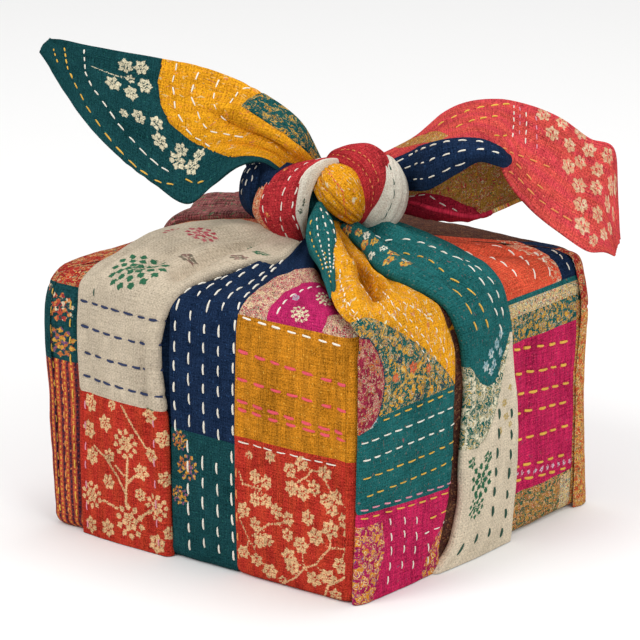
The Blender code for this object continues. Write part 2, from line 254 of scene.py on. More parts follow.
@dataclass(frozen=True)
class Stem:
    """A stalk along a line, of the given half width in mm."""

    line: Outline
    width: float = 0.45
    ink: Ink = Ink.FIRST

    def depth(self, u: np.ndarray, v: np.ndarray) -> np.ndarray:
        """How far inside the stalk each place is, in mm."""
        return self.width - line_distance(self.line, u, v)[0]

    def reach(self) -> tuple[Place, float]:
        """The middle and the radius of what the motif covers."""
        points = np.array(self.line)
        middle = (points.min(axis=0) + points.max(axis=0)) / 2
        return tuple(middle), float(np.ptp(points, axis=0).max()) / 2 + 3


Motif = Flower | Leaf | Stem


def medallion(middle: Place, radius: float, ink: Ink = Ink.FIRST, rings: int = 2) -> list[Motif]:
    """Rings of small leaves that point away from a heart.

    Args:
        middle: The heart's place.
        radius: The outer leaves' reach.
        ink: The colour of all of it.
        rings: How many rings there are.

    Returns:
        The heart and the leaves.
    """
    unit = radius / (rings + 0.4)
    made: list[Motif] = [Flower(middle, unit * 0.42, ink, 4)]
    for ring in range(rings):
        count = 6 + 4 * ring
        for i in range(count):
            turn = (i + 0.5 * ring + middle[0] * 0.37) / count
            out = (math.cos(2 * math.pi * turn), math.sin(2 * math.pi * turn))
            start = unit * (0.42 + ring)
            foot = (middle[0] + start * out[0], middle[1] + start * out[1])
            made.append(Leaf(foot, unit * 0.98, unit * 0.5, turn, ink))
    return made


def medallions(ink: Ink, rings: int, *placed: tuple[float, float, float]) -> list[Motif]:
    """Several medallions in one ink, each by its two coordinates and its radius."""
    return [leaf for u, v, radius in placed for leaf in medallion((u, v), radius, ink, rings)]


def branch(
    line: Outline, tips: Sequence[Place], ink: Ink = Ink.FIRST, length: float = 5.0, stem: float = 0.4,
    lobed: bool = False
) -> list[Motif]:
    """A stalk with a toothed leaf, or a lobed one, round each of some places beside it.

    Args:
        line: The stalk.
        tips: The middle of each leaf, which points away from the stalk's nearest corner.
        ink: The colour of all of it.
        length: A leaf's length.
        stem: The stalk's half width.
        lobed: Whether the leaves are lobed ones.

    Returns:
        The motifs that make the branch.
    """
    made: list[Motif] = [Stem(line, stem, ink)]
    for tip in tips:
        near = min(line, key=lambda place: math.dist(place, tip))
        heading = math.atan2(tip[1] - near[1], tip[0] - near[0])
        foot = (tip[0] - 0.5 * length * math.cos(heading), tip[1] - 0.5 * length * math.sin(heading))
        made.append(Stem((near, foot), stem * 0.8, ink))
        if lobed:
            made += medallion(tip, length * 0.66, ink, 1)
        else:
            made.append(Leaf(foot, length, length * 0.36, heading / (2 * math.pi), ink))
    return made


def flowers(ink: Ink, petals: int, *placed: tuple[float, float, float]) -> list[Motif]:
    """Flowers in one ink, each by its two coordinates and its radius, turned unevenly."""
    return [Flower((u, v), size, ink, petals, turn=(u * 0.37 + v * 0.61) % 1) for u, v, size in placed]


@dataclass(frozen=True)
class Crease:
    """A soft trough, or a ridge where its height is above 0, along a line on the cloth, all in mm."""

    line: Outline
    height: float
    width: float
    fade: float = 14.0

    def lift(self, u: np.ndarray, v: np.ndarray) -> np.ndarray:
        """What the crease adds to the cloth's height at each place."""
        gap, along = line_distance(self.line, u, v)
        total = line_length(self.line)
        ends = np.clip(np.minimum(along, total - along) / max(self.fade, 1e-3) + 0.15, 0, 1)
        return self.height * np.exp(-((gap / self.width) ** 2)) * (ends * ends * (3 - 2 * ends))


class Thread(Enum):
    """The threads of the running stitches, each with its colour."""

    WHITE = "f0e6d0"
    NAVY = "11244c"
    PINK = "de4a5c"
    YELLOW = "dca93f"
    GREEN = "1c4636"
    ORANGE = "dc8a4a"
    ROSE = "d98a9c"


@dataclass(frozen=True)
class Running:
    """A row of running stitches along a line on the cloth, in mm."""

    thread: Thread
    line: Outline
    pitch: float = 8.6
    length: float = 4.7
    thick: float = 1.0
    start: float = 2.0


def runs(
    thread: Thread, *lines: Outline, pitch: float = 7.2, length: float = 4.2, thick: float = 0.85
) -> list[Running]:
    """A row of stitches along each line, each starting at its own place."""
    return [Running(thread, line, pitch, length, thick, start=i * 1.7 % 4) for i, line in enumerate(lines)]


def rows_between(
    thread: Thread, first: Outline, last: Outline, count: int, pitch: float = 8.6, length: float = 4.7,
    thick: float = 1.0
) -> list[Running]:
    """Rows of stitches spread evenly from one line to another.

    Args:
        thread: Their thread.
        first: The first row's line.
        last: The last row's line, with as many corners.
        count: How many rows.
        pitch: From one stitch to the next.
        length: Of a stitch.
        thick: A stitch's thickness.

    Returns:
        The rows, each starting a little further on than the one before.
    """
    made = []
    for i in range(count):
        t = i / max(count - 1, 1)
        line = tuple((a[0] * (1 - t) + b[0] * t, a[1] * (1 - t) + b[1] * t) for a, b in zip(first, last))
        made.append(Running(thread, line, pitch, length, thick, start=1.5 + (i * 3.1) % (pitch * 0.5)))
    return made


# Finishes


def colour(code: str) -> tuple[float, float, float, float]:
    """The linear colour of six hexadecimal digits."""
    parts = [int(code[i : i + 2], 16) / 255 for i in (0, 2, 4)]
    linear = [c / 12.92 if c <= 0.04045 else ((c + 0.055) / 1.055) ** 2.4 for c in parts]
    return (*linear, 1.0)


def toned(code: str, by: float) -> tuple[float, float, float, float]:
    """A colour made lighter, or darker where by is below 0."""
    base = colour(code)
    if by < 0:
        return (*(c * (1 + by) for c in base[:3]), 1.0)
    return (*(c + (min(1.0, c * 1.5 + 0.012) - c) * by for c in base[:3]), 1.0)


class NodeSketch:
    """Short calls that lay out the nodes of one material."""

    def __init__(self, name: str) -> None:
        """Start a material of this name."""
        self.material = bpy.data.materials.new(name)
        self.material.use_nodes = True
        self.tree = self.material.node_tree
        self.shader = self.tree.nodes["Principled BSDF"]

    def add(self, kind: str, **settings: object) -> bpy.types.Node:
        """Adds a node and sets its own choices."""
        node = self.tree.nodes.new(kind)
        for key, value in settings.items():
            setattr(node, key, value)
        return node

    def feed(self, socket: bpy.types.NodeSocket, value: object) -> None:
        """Links a socket, or sets its number or colour."""
        if isinstance(value, bpy.types.NodeSocket):
            self.tree.links.new(value, socket)
        else:
            socket.default_value = value

    def math(self, operation: str, *values: object) -> bpy.types.NodeSocket:
        """One sum on up to three numbers."""
        node = self.add("ShaderNodeMath", operation=operation)
        for socket, value in zip(node.inputs, values):
            self.feed(socket, value)
        return node.outputs[0]

    def vector(self, operation: str, *values: object) -> bpy.types.NodeSocket:
        """One sum on vectors."""
        node = self.add("ShaderNodeVectorMath", operation=operation)
        for socket, value in zip(node.inputs, values):
            self.feed(socket, value)
        return node.outputs[0]

    def mix(self, share: object, first: object, second: object) -> bpy.types.NodeSocket:
        """A colour between two others."""
        node = self.add("ShaderNodeMix", data_type="RGBA", clamp_factor=True)
        self.feed(node.inputs[0], share)
        self.feed(node.inputs[6], first)
        self.feed(node.inputs[7], second)
        return node.outputs[2]

    def noise(self, place: object, scale: Point, detail: float = 1.0) -> bpy.types.Node:
        """Noise with cells of the given sizes in mm."""
        node = self.add("ShaderNodeTexNoise")
        self.feed(node.inputs["Vector"], self.vector("DIVIDE", place, scale))
        node.inputs["Scale"].default_value = 1.0
        node.inputs["Detail"].default_value = detail
        return node

    def parts(self, place: object) -> Sequence[bpy.types.NodeSocket]:
        """The three numbers of a place."""
        node = self.add("ShaderNodeSeparateXYZ")
        self.feed(node.inputs[0], place)
        return node.outputs

    def cells(self, place: object, size: Point) -> tuple[bpy.types.NodeSocket, bpy.types.NodeSocket]:
        """Cells of a size in mm: the way to each one's middle, and a number of its own."""
        node = self.add("ShaderNodeTexVoronoi", voronoi_dimensions="2D")
        self.feed(node.inputs["Vector"], self.vector("DIVIDE", place, size))
        node.inputs["Scale"].default_value = 1.0
        pick = self.add("ShaderNodeSeparateColor")
        self.feed(pick.inputs[0], node.outputs["Color"])
        return node.outputs["Distance"], pick.outputs[0]

    def emboss(self, height: object, strength: float, depth: float) -> None:
        """Raises the finish by a height, down to a depth in metres."""
        bump = self.add("ShaderNodeBump")
        bump.inputs["Strength"].default_value = strength
        bump.inputs["Distance"].default_value = depth
        self.feed(bump.inputs["Height"], height)
        self.feed(self.shader.inputs["Normal"], bump.outputs[0])

    def steps(self, share: object, codes: Sequence[str]) -> bpy.types.NodeSocket:
        """One of several colours, in even steps."""
        node = self.add("ShaderNodeValToRGB")
        ramp = node.color_ramp
        ramp.interpolation = "CONSTANT"
        for i, code in enumerate(codes):
            stop = ramp.elements[i] if i < 2 else ramp.elements.new(i / len(codes))
            stop.position = i / len(codes)
            stop.color = colour(code)
        self.feed(node.inputs[0], share)
        return node.outputs[0]

    def stretch(self, value: object, low: float, high: float) -> bpy.types.NodeSocket:
        """A number spread from 0 at low to 1 at high, and held there."""
        node = self.add("ShaderNodeMapRange", clamp=True)
        self.feed(node.inputs["Value"], value)
        node.inputs["From Min"].default_value = low
        node.inputs["From Max"].default_value = high
        return node.outputs[0]


@dataclass(frozen=True)
class Confetti:
    """A small all-over print of ringed shapes in several colours, their size in mm."""

    cell: float
    codes: str
    cover: float = 0.5
    warp: float = 1.2


@dataclass(frozen=True)
class Ribs:
    """Soft woven ribs along the cloth: their pitch in mm, their strength and the tint of their crests."""

    pitch: float
    strength: float
    code: str = ""


@dataclass(frozen=True)
class Cotton:
    """One kind of cotton patch: its ground, the flecks woven into it and what is printed on it."""

    name: str
    ground: str
    fleck: str = ""
    flecks: float = 0.3
    contrast: float = 1.0
    slub: float = 1.0
    streak: str = ""
    streaks: float = 0.3
    prints: tuple[str, ...] = ()
    confetti: Confetti | None = None
    ribs: Ribs | None = None
    dashes: str = ""

    def cloth_tone(self, sketch: NodeSketch, place: object) -> tuple[object, object]:
        """The tone and the height of the weave at a place.

        Args:
            sketch: The material being laid out.
            place: The flat place in mm.

        Returns:
            The tone, 0 dark to 1 light, and the threads' height.
        """
        warp = sketch.noise(place, (0.55, 7.0, 1.0)).outputs[0]
        weft = sketch.noise(place, (7.0, 0.55, 1.0)).outputs[0]
        grain = sketch.noise(place, (0.62, 0.62, 1.0), 2.0).outputs[0]
        broad = sketch.noise(place, (16.0, 22.0, 1.0), 2.0).outputs[0]
        parts = sketch.parts(place)
        across = sketch.math("SINE", sketch.math("MULTIPLY", parts[0], 2 * math.pi / WEAVE))
        along = sketch.math("SINE", sketch.math("MULTIPLY", parts[1], 2 * math.pi / WEAVE))
        weave = sketch.math("MULTIPLY", across, along)
        tone = sketch.math("MULTIPLY_ADD", weave, 0.07, 0.5)
        for part, share in ((warp, 0.9 * self.slub), (weft, 0.9 * self.slub), (grain, 1.5), (broad, 0.7)):
            drift = sketch.math("SUBTRACT", part, 0.5)
            tone = sketch.math("MULTIPLY_ADD", drift, share * self.contrast, tone)
        height = sketch.math("MULTIPLY_ADD", weave, 0.25, sketch.math("ADD", warp, weft))
        height = sketch.math("MULTIPLY_ADD", grain, 0.9, height)
        return tone, height

    def tinted(self, sketch: NodeSketch, tone: object, code: str) -> bpy.types.NodeSocket:
        """A colour with the weave's light and dark in it."""
        return sketch.mix(tone, toned(code, -0.6), toned(code, 1.0))

    def inked(self, sketch: NodeSketch, place: object, tone: object, codes: str) -> bpy.types.NodeSocket:
        """A print's colour, or a mix of several where there is more than one code."""
        if " " not in codes:
            return self.tinted(sketch, tone, codes)
        number = sketch.cells(place, (1.3, 1.6, 1.0))[1]
        chosen = sketch.steps(number, codes.split())
        return sketch.mix(tone, sketch.vector("MULTIPLY", chosen, (0.55, 0.55, 0.55)), chosen)

    def lay_confetti(self, sketch: NodeSketch, place: object, tone: object, under: object) -> object:
        """The all-over print, laid over a colour."""
        print_made = self.confetti
        drift = sketch.noise(place, (2.6, 2.6, 1.0), 2.0).outputs["Color"]
        drift = sketch.vector("SCALE", sketch.vector("SUBTRACT", drift, (0.5, 0.5, 0.5)))
        drift.node.inputs["Scale"].default_value = print_made.warp * 3
        warped = sketch.vector("ADD", place, drift)
        for cell, share in ((print_made.cell, 1.0), (print_made.cell * 0.42, 0.75)):
            distance, number = sketch.cells(warped, (cell, cell, 1.0))
            rings = sketch.math("MULTIPLY_ADD", distance, 1.7, number)
            chosen = sketch.steps(sketch.math("FRACT", rings), print_made.codes.split())
            dark = sketch.vector("MULTIPLY", chosen, (0.62, 0.62, 0.62))
            chosen = sketch.mix(tone, dark, chosen)
            covered = sketch.stretch(distance, print_made.cover * share, print_made.cover * share - 0.1)
            under = sketch.mix(covered, under, chosen)
        return under

    def lay_dashes(self, sketch: NodeSketch, place: object, tone: object, under: object) -> object:
        """Woven ribs in several colours with short dashes between them."""
        parts = sketch.parts(place)
        rib_code, dot_code, gap_code = self.dashes.split()
        phase = sketch.math("FRACT", sketch.math("DIVIDE", parts[0], self.ribs.pitch))
        rib = sketch.math("PINGPONG", phase, 0.5)
        beat = sketch.math("FRACT", sketch.math("DIVIDE", parts[1], 2.3))
        beat = sketch.stretch(sketch.math("PINGPONG", beat, 0.5), 0.2, 0.3)
        crest = sketch.stretch(rib, 0.17, 0.25)
        under = sketch.mix(crest, under, self.tinted(sketch, tone, rib_code))
        dots = sketch.math("MULTIPLY", sketch.stretch(rib, 0.36, 0.42), beat)
        under = sketch.mix(dots, under, self.tinted(sketch, tone, dot_code))
        gaps = sketch.math("MULTIPLY", sketch.stretch(rib, 0.1, 0.05), beat)
        return sketch.mix(gaps, under, self.tinted(sketch, tone, gap_code))

    def made(self) -> bpy.types.Material:
        """The finish as a material, made once."""
        found = bpy.data.materials.get(self.name)
        if found:
            return found
        sketch = NodeSketch(self.name)
        flat = sketch.add("ShaderNodeUVMap", uv_map=FLAT_MAP).outputs[0]
        place = sketch.vector("MULTIPLY", flat, TO_MM)
        tone, height = self.cloth_tone(sketch, place)
        shown = self.tinted(sketch, tone, self.ground)
        if self.ribs:
            parts = sketch.parts(place)
            sway = sketch.noise(place, (9.0, 30.0, 1.0)).outputs[0]
            phase = sketch.math("MULTIPLY_ADD", sway, 1.2, sketch.math("DIVIDE", parts[0], self.ribs.pitch))
            wave = sketch.math("SINE", sketch.math("MULTIPLY", phase, 2 * math.pi))
            share = sketch.math("MULTIPLY_ADD", wave, 0.5 * self.ribs.strength, 0.5 * self.ribs.strength)
            crest = self.ribs.code or self.ground
            shown = sketch.mix(
                share, shown, self.tinted(sketch, tone, crest) if self.ribs.code else toned(crest, 0.5)
            )
            height = sketch.math("MULTIPLY_ADD", wave, 0.5 * self.ribs.strength, height)
        if self.dashes:
            shown = self.lay_dashes(sketch, place, tone, shown)
        if self.confetti:
            shown = self.lay_confetti(sketch, place, tone, shown)
        if self.fleck:
            spots = sketch.noise(place, (0.9, 1.5, 1.0), 1.0).outputs[0]
            low = 0.74 - 0.3 * self.flecks
            shown = sketch.mix(
                sketch.stretch(spots, low, low + 0.07), shown, self.tinted(sketch, tone, self.fleck)
            )
        if self.streak:
            drift = sketch.noise(place, (7.0, 9.0, 1.0), 1.0).outputs["Color"]
            bent = sketch.vector("ADD", place, sketch.vector("MULTIPLY", drift, (9.0, 4.0, 0.0)))
            strokes = sketch.noise(bent, (0.85, 3.6, 1.0), 1.0).outputs[0]
            low = 0.72 - 0.3 * self.streaks
            shown = sketch.mix(
                sketch.stretch(strokes, low, low + 0.05), shown, self.inked(sketch, place, tone, self.streak)
            )
        if self.prints:
            mask = sketch.add("ShaderNodeAttribute", attribute_name=PRINT)
            channels = sketch.add("ShaderNodeSeparateColor")
            sketch.feed(channels.inputs[0], mask.outputs["Color"])
            jag = sketch.noise(place, (0.8, 0.8, 1.0), 1.0).outputs[0]
            jag = sketch.math("MULTIPLY_ADD", jag, 1.5, -0.75)
            for ink, code in zip(Ink, self.prints):
                depth = mask.outputs["Alpha"] if ink is Ink.FOURTH else channels.outputs[ink.value]
                covered = sketch.stretch(sketch.math("ADD", depth, jag), -0.12, 0.16)
                shown = sketch.mix(covered, shown, self.inked(sketch, place, tone, code))
        sketch.emboss(height, 0.55, 0.0005)
        sketch.feed(sketch.shader.inputs["Base Color"], shown)
        sketch.shader.inputs["Roughness"].default_value = 0.92
        sketch.shader.inputs["Specular IOR Level"].default_value = 0.05
        sketch.shader.inputs["Sheen Weight"].default_value = 0.0
        return sketch.material


# Sheets of cloth


@dataclass(frozen=True)
class Patch:
    """A piece of the patchwork: its finish and its outline on the sheet."""

    finish: Cotton
    outline: Outline


def whole(finish: Cotton) -> Patch:
    """A patch that covers all of any sheet."""
    return Patch(finish, span(-BEYOND, BEYOND, -BEYOND, BEYOND))


@dataclass
class FlatCloth:
    """A sheet's fine grid: its flat coordinates and its points, in mm."""

    u: np.ndarray
    v: np.ndarray
    points: np.ndarray
    side: float = 1.0

    def normals(self) -> np.ndarray:
        """The direction out of the cloth at each point."""
        across = np.gradient(self.points, axis=1)
        along = np.gradient(self.points, axis=0)
        out = np.cross(across, along) * self.side
        return out / np.maximum(np.linalg.norm(out, axis=-1, keepdims=True), 1e-9)

    def face_away_from(self, inside: Point) -> None:
        """Turns the cloth's outer side away from a point."""
        facing = (self.normals() * (self.points - np.array(inside))).sum(axis=-1)
        if facing.mean() < 0:
            self.side = -self.side

    def read(self, values: np.ndarray, u: np.ndarray, v: np.ndarray) -> np.ndarray:
        """Reads values of the grid at any places, in between its lines too."""
        i = np.clip(np.searchsorted(self.v, v, side="right") - 1, 0, len(self.v) - 2)
        j = np.clip(np.searchsorted(self.u, u, side="right") - 1, 0, len(self.u) - 2)
        t = ((v - self.v[i]) / (self.v[i + 1] - self.v[i]))[..., None]
        s = ((u - self.u[j]) / (self.u[j + 1] - self.u[j]))[..., None]
        near = values[i, j] * (1 - s) + values[i, j + 1] * s
        far = values[i + 1, j] * (1 - s) + values[i + 1, j + 1] * s
        return near * (1 - t) + far * t


@dataclass
class ClothSheet:
    """One sheet of the wrapping cloth, with everything that is sewn, printed or creased on it."""

    name: str
    patches: list[Patch]
    inside: Point
    held: str
    creases: list[Crease] = field(default_factory=list)
    motifs: list[Motif] = field(default_factory=list)
    seams: list[Outline] = field(default_factory=list)
    stitches: list[Running] = field(default_factory=list)
    softness: float = 1.0
    seed: int = 7
    thickness: float = 0.0
    underside: Cotton | None = None

    def grid(self) -> FlatCloth:
        """The sheet's undecorated shape."""
        raise NotImplementedError

    def heights(self, u: np.ndarray, v: np.ndarray) -> np.ndarray:
        """How far the cloth stands off its plain shape, in mm."""
        height = 0.55 * uneven(u, v, 34, 38, self.seed) + 0.28 * uneven(u, v, 11, 15, self.seed + 1)
        height = (height + 0.1 * uneven(u, v, 3.6, 4.6, self.seed + 2)) * self.softness
        for crease in self.creases:
            height = height + crease.lift(u, v)
        sewn = np.zeros(u.shape)
        for line in self.seams:
            gap = line_distance(line, u, v)[0]
            sewn = np.minimum(
                sewn, 0.18 * np.exp(-(((gap - 2.1) / 1.2) ** 2)) - 0.62 * np.exp(-((gap / 0.95) ** 2))
            )
        for row in self.stitches:
            gap, along = line_distance(row.line, u, v)
            pucker = 0.62 + 0.38 * np.cos(2 * math.pi * (along - row.start) / row.pitch)
            sewn = np.minimum(sewn, -0.5 * pucker * np.exp(-((gap / 1.25) ** 2)))
        return height + sewn

    def snapped(self, cloth: FlatCloth) -> tuple[np.ndarray, np.ndarray, np.ndarray]:
        """Moves grid points onto the patches' outlines, so that these are crisp.

        Args:
            cloth: The sheet's grid.

        Returns:
            The flat coordinates and a mark for each point that lies on an outline.
        """
        u, v = np.meshgrid(cloth.u, cloth.v)
        marked = np.zeros(u.shape, bool)
        step_u = np.broadcast_to(np.gradient(cloth.u), u.shape)
        step_v = np.broadcast_to(np.gradient(cloth.v)[:, None], u.shape)
        reach = 0.5 * np.minimum(step_u, step_v)
        inner = np.zeros(u.shape, bool)
        inner[1:-1, 1:-1] = True
        for patch in self.patches:
            for (u0, v0), (u1, v1) in zip(patch.outline, patch.outline[1:] + patch.outline[:1]):
                length = math.hypot(u1 - u0, v1 - v0)
                t = ((u - u0) * (u1 - u0) + (v - v0) * (v1 - v0)) / length**2
                foot_u, foot_v = u0 + t * (u1 - u0), v0 + t * (v1 - v0)
                lean = abs(v1 - v0) / length
                near = np.hypot(u - foot_u, v - foot_v) < np.where(lean > 0.7, 0.5 * step_u, 0.5 * step_v)
                near &= inner & ~marked & (t > -reach / length) & (t < 1 + reach / length)
                u, v = np.where(near, foot_u, u), np.where(near, foot_v, v)
                marked |= near
        return u, v, marked

    def triangles(self, marked: np.ndarray, side: float) -> np.ndarray:
        """The grid's triangles, with their cuts along the patches' outlines."""
        along, across = marked.shape
        index = np.arange(along * across).reshape(along, across)
        a, b, c, d = (x.ravel() for x in (index[:-1, :-1], index[:-1, 1:], index[1:, 1:], index[1:, :-1]))
        flat = marked.ravel()
        other = flat[b] & flat[d] & ~(flat[a] & flat[c])
        first = np.where(other[:, None], np.stack([a, b, d], 1), np.stack([a, b, c], 1))
        second = np.where(other[:, None], np.stack([b, c, d], 1), np.stack([a, c, d], 1))
        faces = np.concatenate([first, second])
        return faces if side > 0 else faces[:, ::-1]

    def print_depths(self, u: np.ndarray, v: np.ndarray) -> np.ndarray:
        """How deep each point lies inside the motifs of each ink."""
        depths = np.full((u.size, 4), OFF_PRINT)
        flat_u, flat_v = u.ravel(), v.ravel()
        for motif in self.motifs:
            (mid_u, mid_v), reach = motif.reach()
            near = np.nonzero((np.abs(flat_u - mid_u) < reach) & (np.abs(flat_v - mid_v) < reach))[0]
            if len(near):
                depth = np.clip(motif.depth(flat_u[near], flat_v[near]), OFF_PRINT, 2)
                ink = motif.ink.value
                depths[near, ink] = np.maximum(depths[near, ink], depth)
        return depths

    def build(self, sewing: "Sewing") -> bpy.types.Object:
        """Args:
            sewing: Takes the sheet's stitches.

        Returns:
            The finished piece.
        """
        cloth = self.grid()
        cloth.face_away_from(self.inside)
        flat_u, flat_v = np.meshgrid(cloth.u, cloth.v)
        lifted = cloth.points + cloth.normals() * self.heights(flat_u, flat_v)[..., None]
        lifted[..., 2] = np.maximum(lifted[..., 2], LOWEST)
        shaped = FlatCloth(cloth.u, cloth.v, lifted, cloth.side)
        u, v, marked = self.snapped(cloth)
        points = shaped.read(lifted, u, v).reshape(-1, 3) * MM
        faces = self.triangles(marked, cloth.side)
        mesh = bpy.data.meshes.new(self.name)
        mesh.from_pydata(points, [], faces)
        self.dress(mesh, u.ravel(), v.ravel(), faces)
        piece = in_scene(self.name, mesh)
        if self.thickness:
            piece = self.thickened(piece)
        sewing.take(shaped, self.stitches, self.thickness / 2)
        self.declare(piece)
        return piece

    def dress(self, mesh: bpy.types.Mesh, u: np.ndarray, v: np.ndarray, faces: np.ndarray) -> None:
        """Gives the mesh its flat map, its prints and each face's patch."""
        corners = faces.ravel()
        flat = np.stack([u[corners], v[corners]], axis=1) * MM
        mesh.uv_layers.new(name=FLAT_MAP).data.foreach_set("uv", flat.ravel())
        depths = self.print_depths(u, v)
        mesh.attributes.new(PRINT, "FLOAT_COLOR", "POINT").data.foreach_set("color", depths.ravel())
        mid_u, mid_v = u[faces].mean(axis=1), v[faces].mean(axis=1)
        slots: list[Cotton] = []
        chosen = np.zeros(len(faces), np.int32)
        for patch in self.patches:
            if patch.finish not in slots:
                slots.append(patch.finish)
                mesh.materials.append(patch.finish.made())
            chosen[within(patch.outline, mid_u, mid_v)] = slots.index(patch.finish)
        if self.underside:
            mesh.materials.append(self.underside.made())
        mesh.polygons.foreach_set("material_index", chosen)
        mesh.shade_smooth()
        mesh.update()

    def thickened(self, piece: bpy.types.Object) -> bpy.types.Object:
        """The sheet with its quilted thickness."""
        wall = piece.modifiers.new("quilted thickness", "SOLIDIFY")
        wall.thickness = self.thickness * MM
        wall.offset = 0
        if self.underside:
            wall.material_offset = len(piece.data.materials) - 1
        return applied(piece)

    def declare(self, piece: bpy.types.Object) -> None:
        """Puts the piece on the object's one body, in place of the plain cloth."""
        ride_as_cloth(piece)
        cloth = self.grid()


def in_scene(name: str, data: bpy.types.ID) -> bpy.types.Object:
    """A new object, in the scene."""
    made = bpy.data.objects.new(name, data)
    bpy.context.scene.collection.objects.link(made)
    return made


def applied(piece: bpy.types.Object) -> bpy.types.Object:
    """The piece with its modifiers made part of its mesh."""
    bpy.context.view_layer.update()
    depsgraph = bpy.context.evaluated_depsgraph_get()
    mesh = bpy.data.meshes.new_from_object(piece.evaluated_get(depsgraph), depsgraph=depsgraph)
    mesh.name = piece.name
    piece.modifiers.clear()
    piece.data = mesh
    return piece


def ride_as_cloth(piece: bpy.types.Object) -> None:
    """Puts a piece on the object's one body, in place of the plain cloth."""
    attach(piece, BODY)
    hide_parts(CLOTH_NODE)


@dataclass
class LoftedSheet(ClothSheet):
    """A sheet whose shape goes smoothly through rows of places in mm, with its side hems rolled under."""

    rows: tuple[tuple[Point, ...], ...] = ()
    u_at: tuple[float, ...] = ()
    in_knot: bool = False
    step: float = 1.0
    rolls: tuple[float, float] = (0.0, 0.0)
    sweep: float = 150.0

    def table(self) -> tuple[np.ndarray, np.ndarray, np.ndarray]:
        """The rows as points in the box's axes, and the flat place of each column and row."""
        rows = np.array(self.rows, float)
        if self.in_knot:
            rows = knot_to_box(rows)
        lengths = np.linalg.norm(np.diff(rows, axis=1), axis=-1)
        across = lengths[lengths.sum(axis=1).argmax()]
        middle = rows[:, rows.shape[1] // 2]
        along = np.linalg.norm(np.diff(middle, axis=0), axis=-1)
        u_at = np.array(self.u_at) if self.u_at else np.concatenate([[0], np.cumsum(across)])
        v_at = np.concatenate([[0], np.cumsum(along)])
        return rows, u_at, v_at

    def grid(self) -> FlatCloth:
        """The sheet's undecorated shape."""
        rows, u_at, v_at = self.table()
        u = np.linspace(u_at[0], u_at[-1], max(4, round((u_at[-1] - u_at[0]) / self.step)) + 1)
        v = np.linspace(v_at[0], v_at[-1], max(4, round((v_at[-1] - v_at[0]) / self.step)) + 1)
        points = through(rows, v_at, v)
        points = through(points.transpose(1, 0, 2), u_at, u).transpose(1, 0, 2)
        cloth = FlatCloth(u, v, points)
        cloth.face_away_from(self.inside)
        for at_start, radius in zip((True, False), self.rolls):
            if radius:
                cloth = self.rolled(cloth, at_start, radius)
        return cloth

    def rolled(self, cloth: FlatCloth, at_start: bool, radius: float) -> FlatCloth:
        """Adds a side hem that curls under.

        Args:
            cloth: The grid so far.
            at_start: True for the hem before the first column, False for the last.
            radius: The roll's radius in mm.

        Returns:
            The wider grid.
        """
        normal = cloth.normals()
        edge, next_in = (0, 1) if at_start else (-1, -2)
        outward = cloth.points[:, edge] - cloth.points[:, next_in]
        outward -= normal[:, edge] * (outward * normal[:, edge]).sum(axis=-1, keepdims=True)
        outward /= np.maximum(np.linalg.norm(outward, axis=-1, keepdims=True), 1e-9)
        count = max(6, round(math.radians(self.sweep) * radius / self.step))
        angles = np.radians(np.linspace(0, self.sweep, count + 1)[1:])
        sideways, under = outward * radius, normal[:, edge] * radius
        added = [cloth.points[:, edge] + sideways * math.sin(a) - under * (1 - math.cos(a)) for a in angles]
        flat = radius * angles
        if at_start:
            points = np.concatenate([np.stack(added[::-1], axis=1), cloth.points], axis=1)
            u = np.concatenate([cloth.u[0] - flat[::-1], cloth.u])
        else:
            points = np.concatenate([cloth.points, np.stack(added, axis=1)], axis=1)
            u = np.concatenate([cloth.u, cloth.u[-1] + flat])
        return FlatCloth(u, cloth.v, points, cloth.side)


class Face(Enum):
    """The four upright faces of the box, by the quarter turns from the front one."""

    FRONT = 0
    RIGHT = 1
    BACK = 2
    LEFT = 3


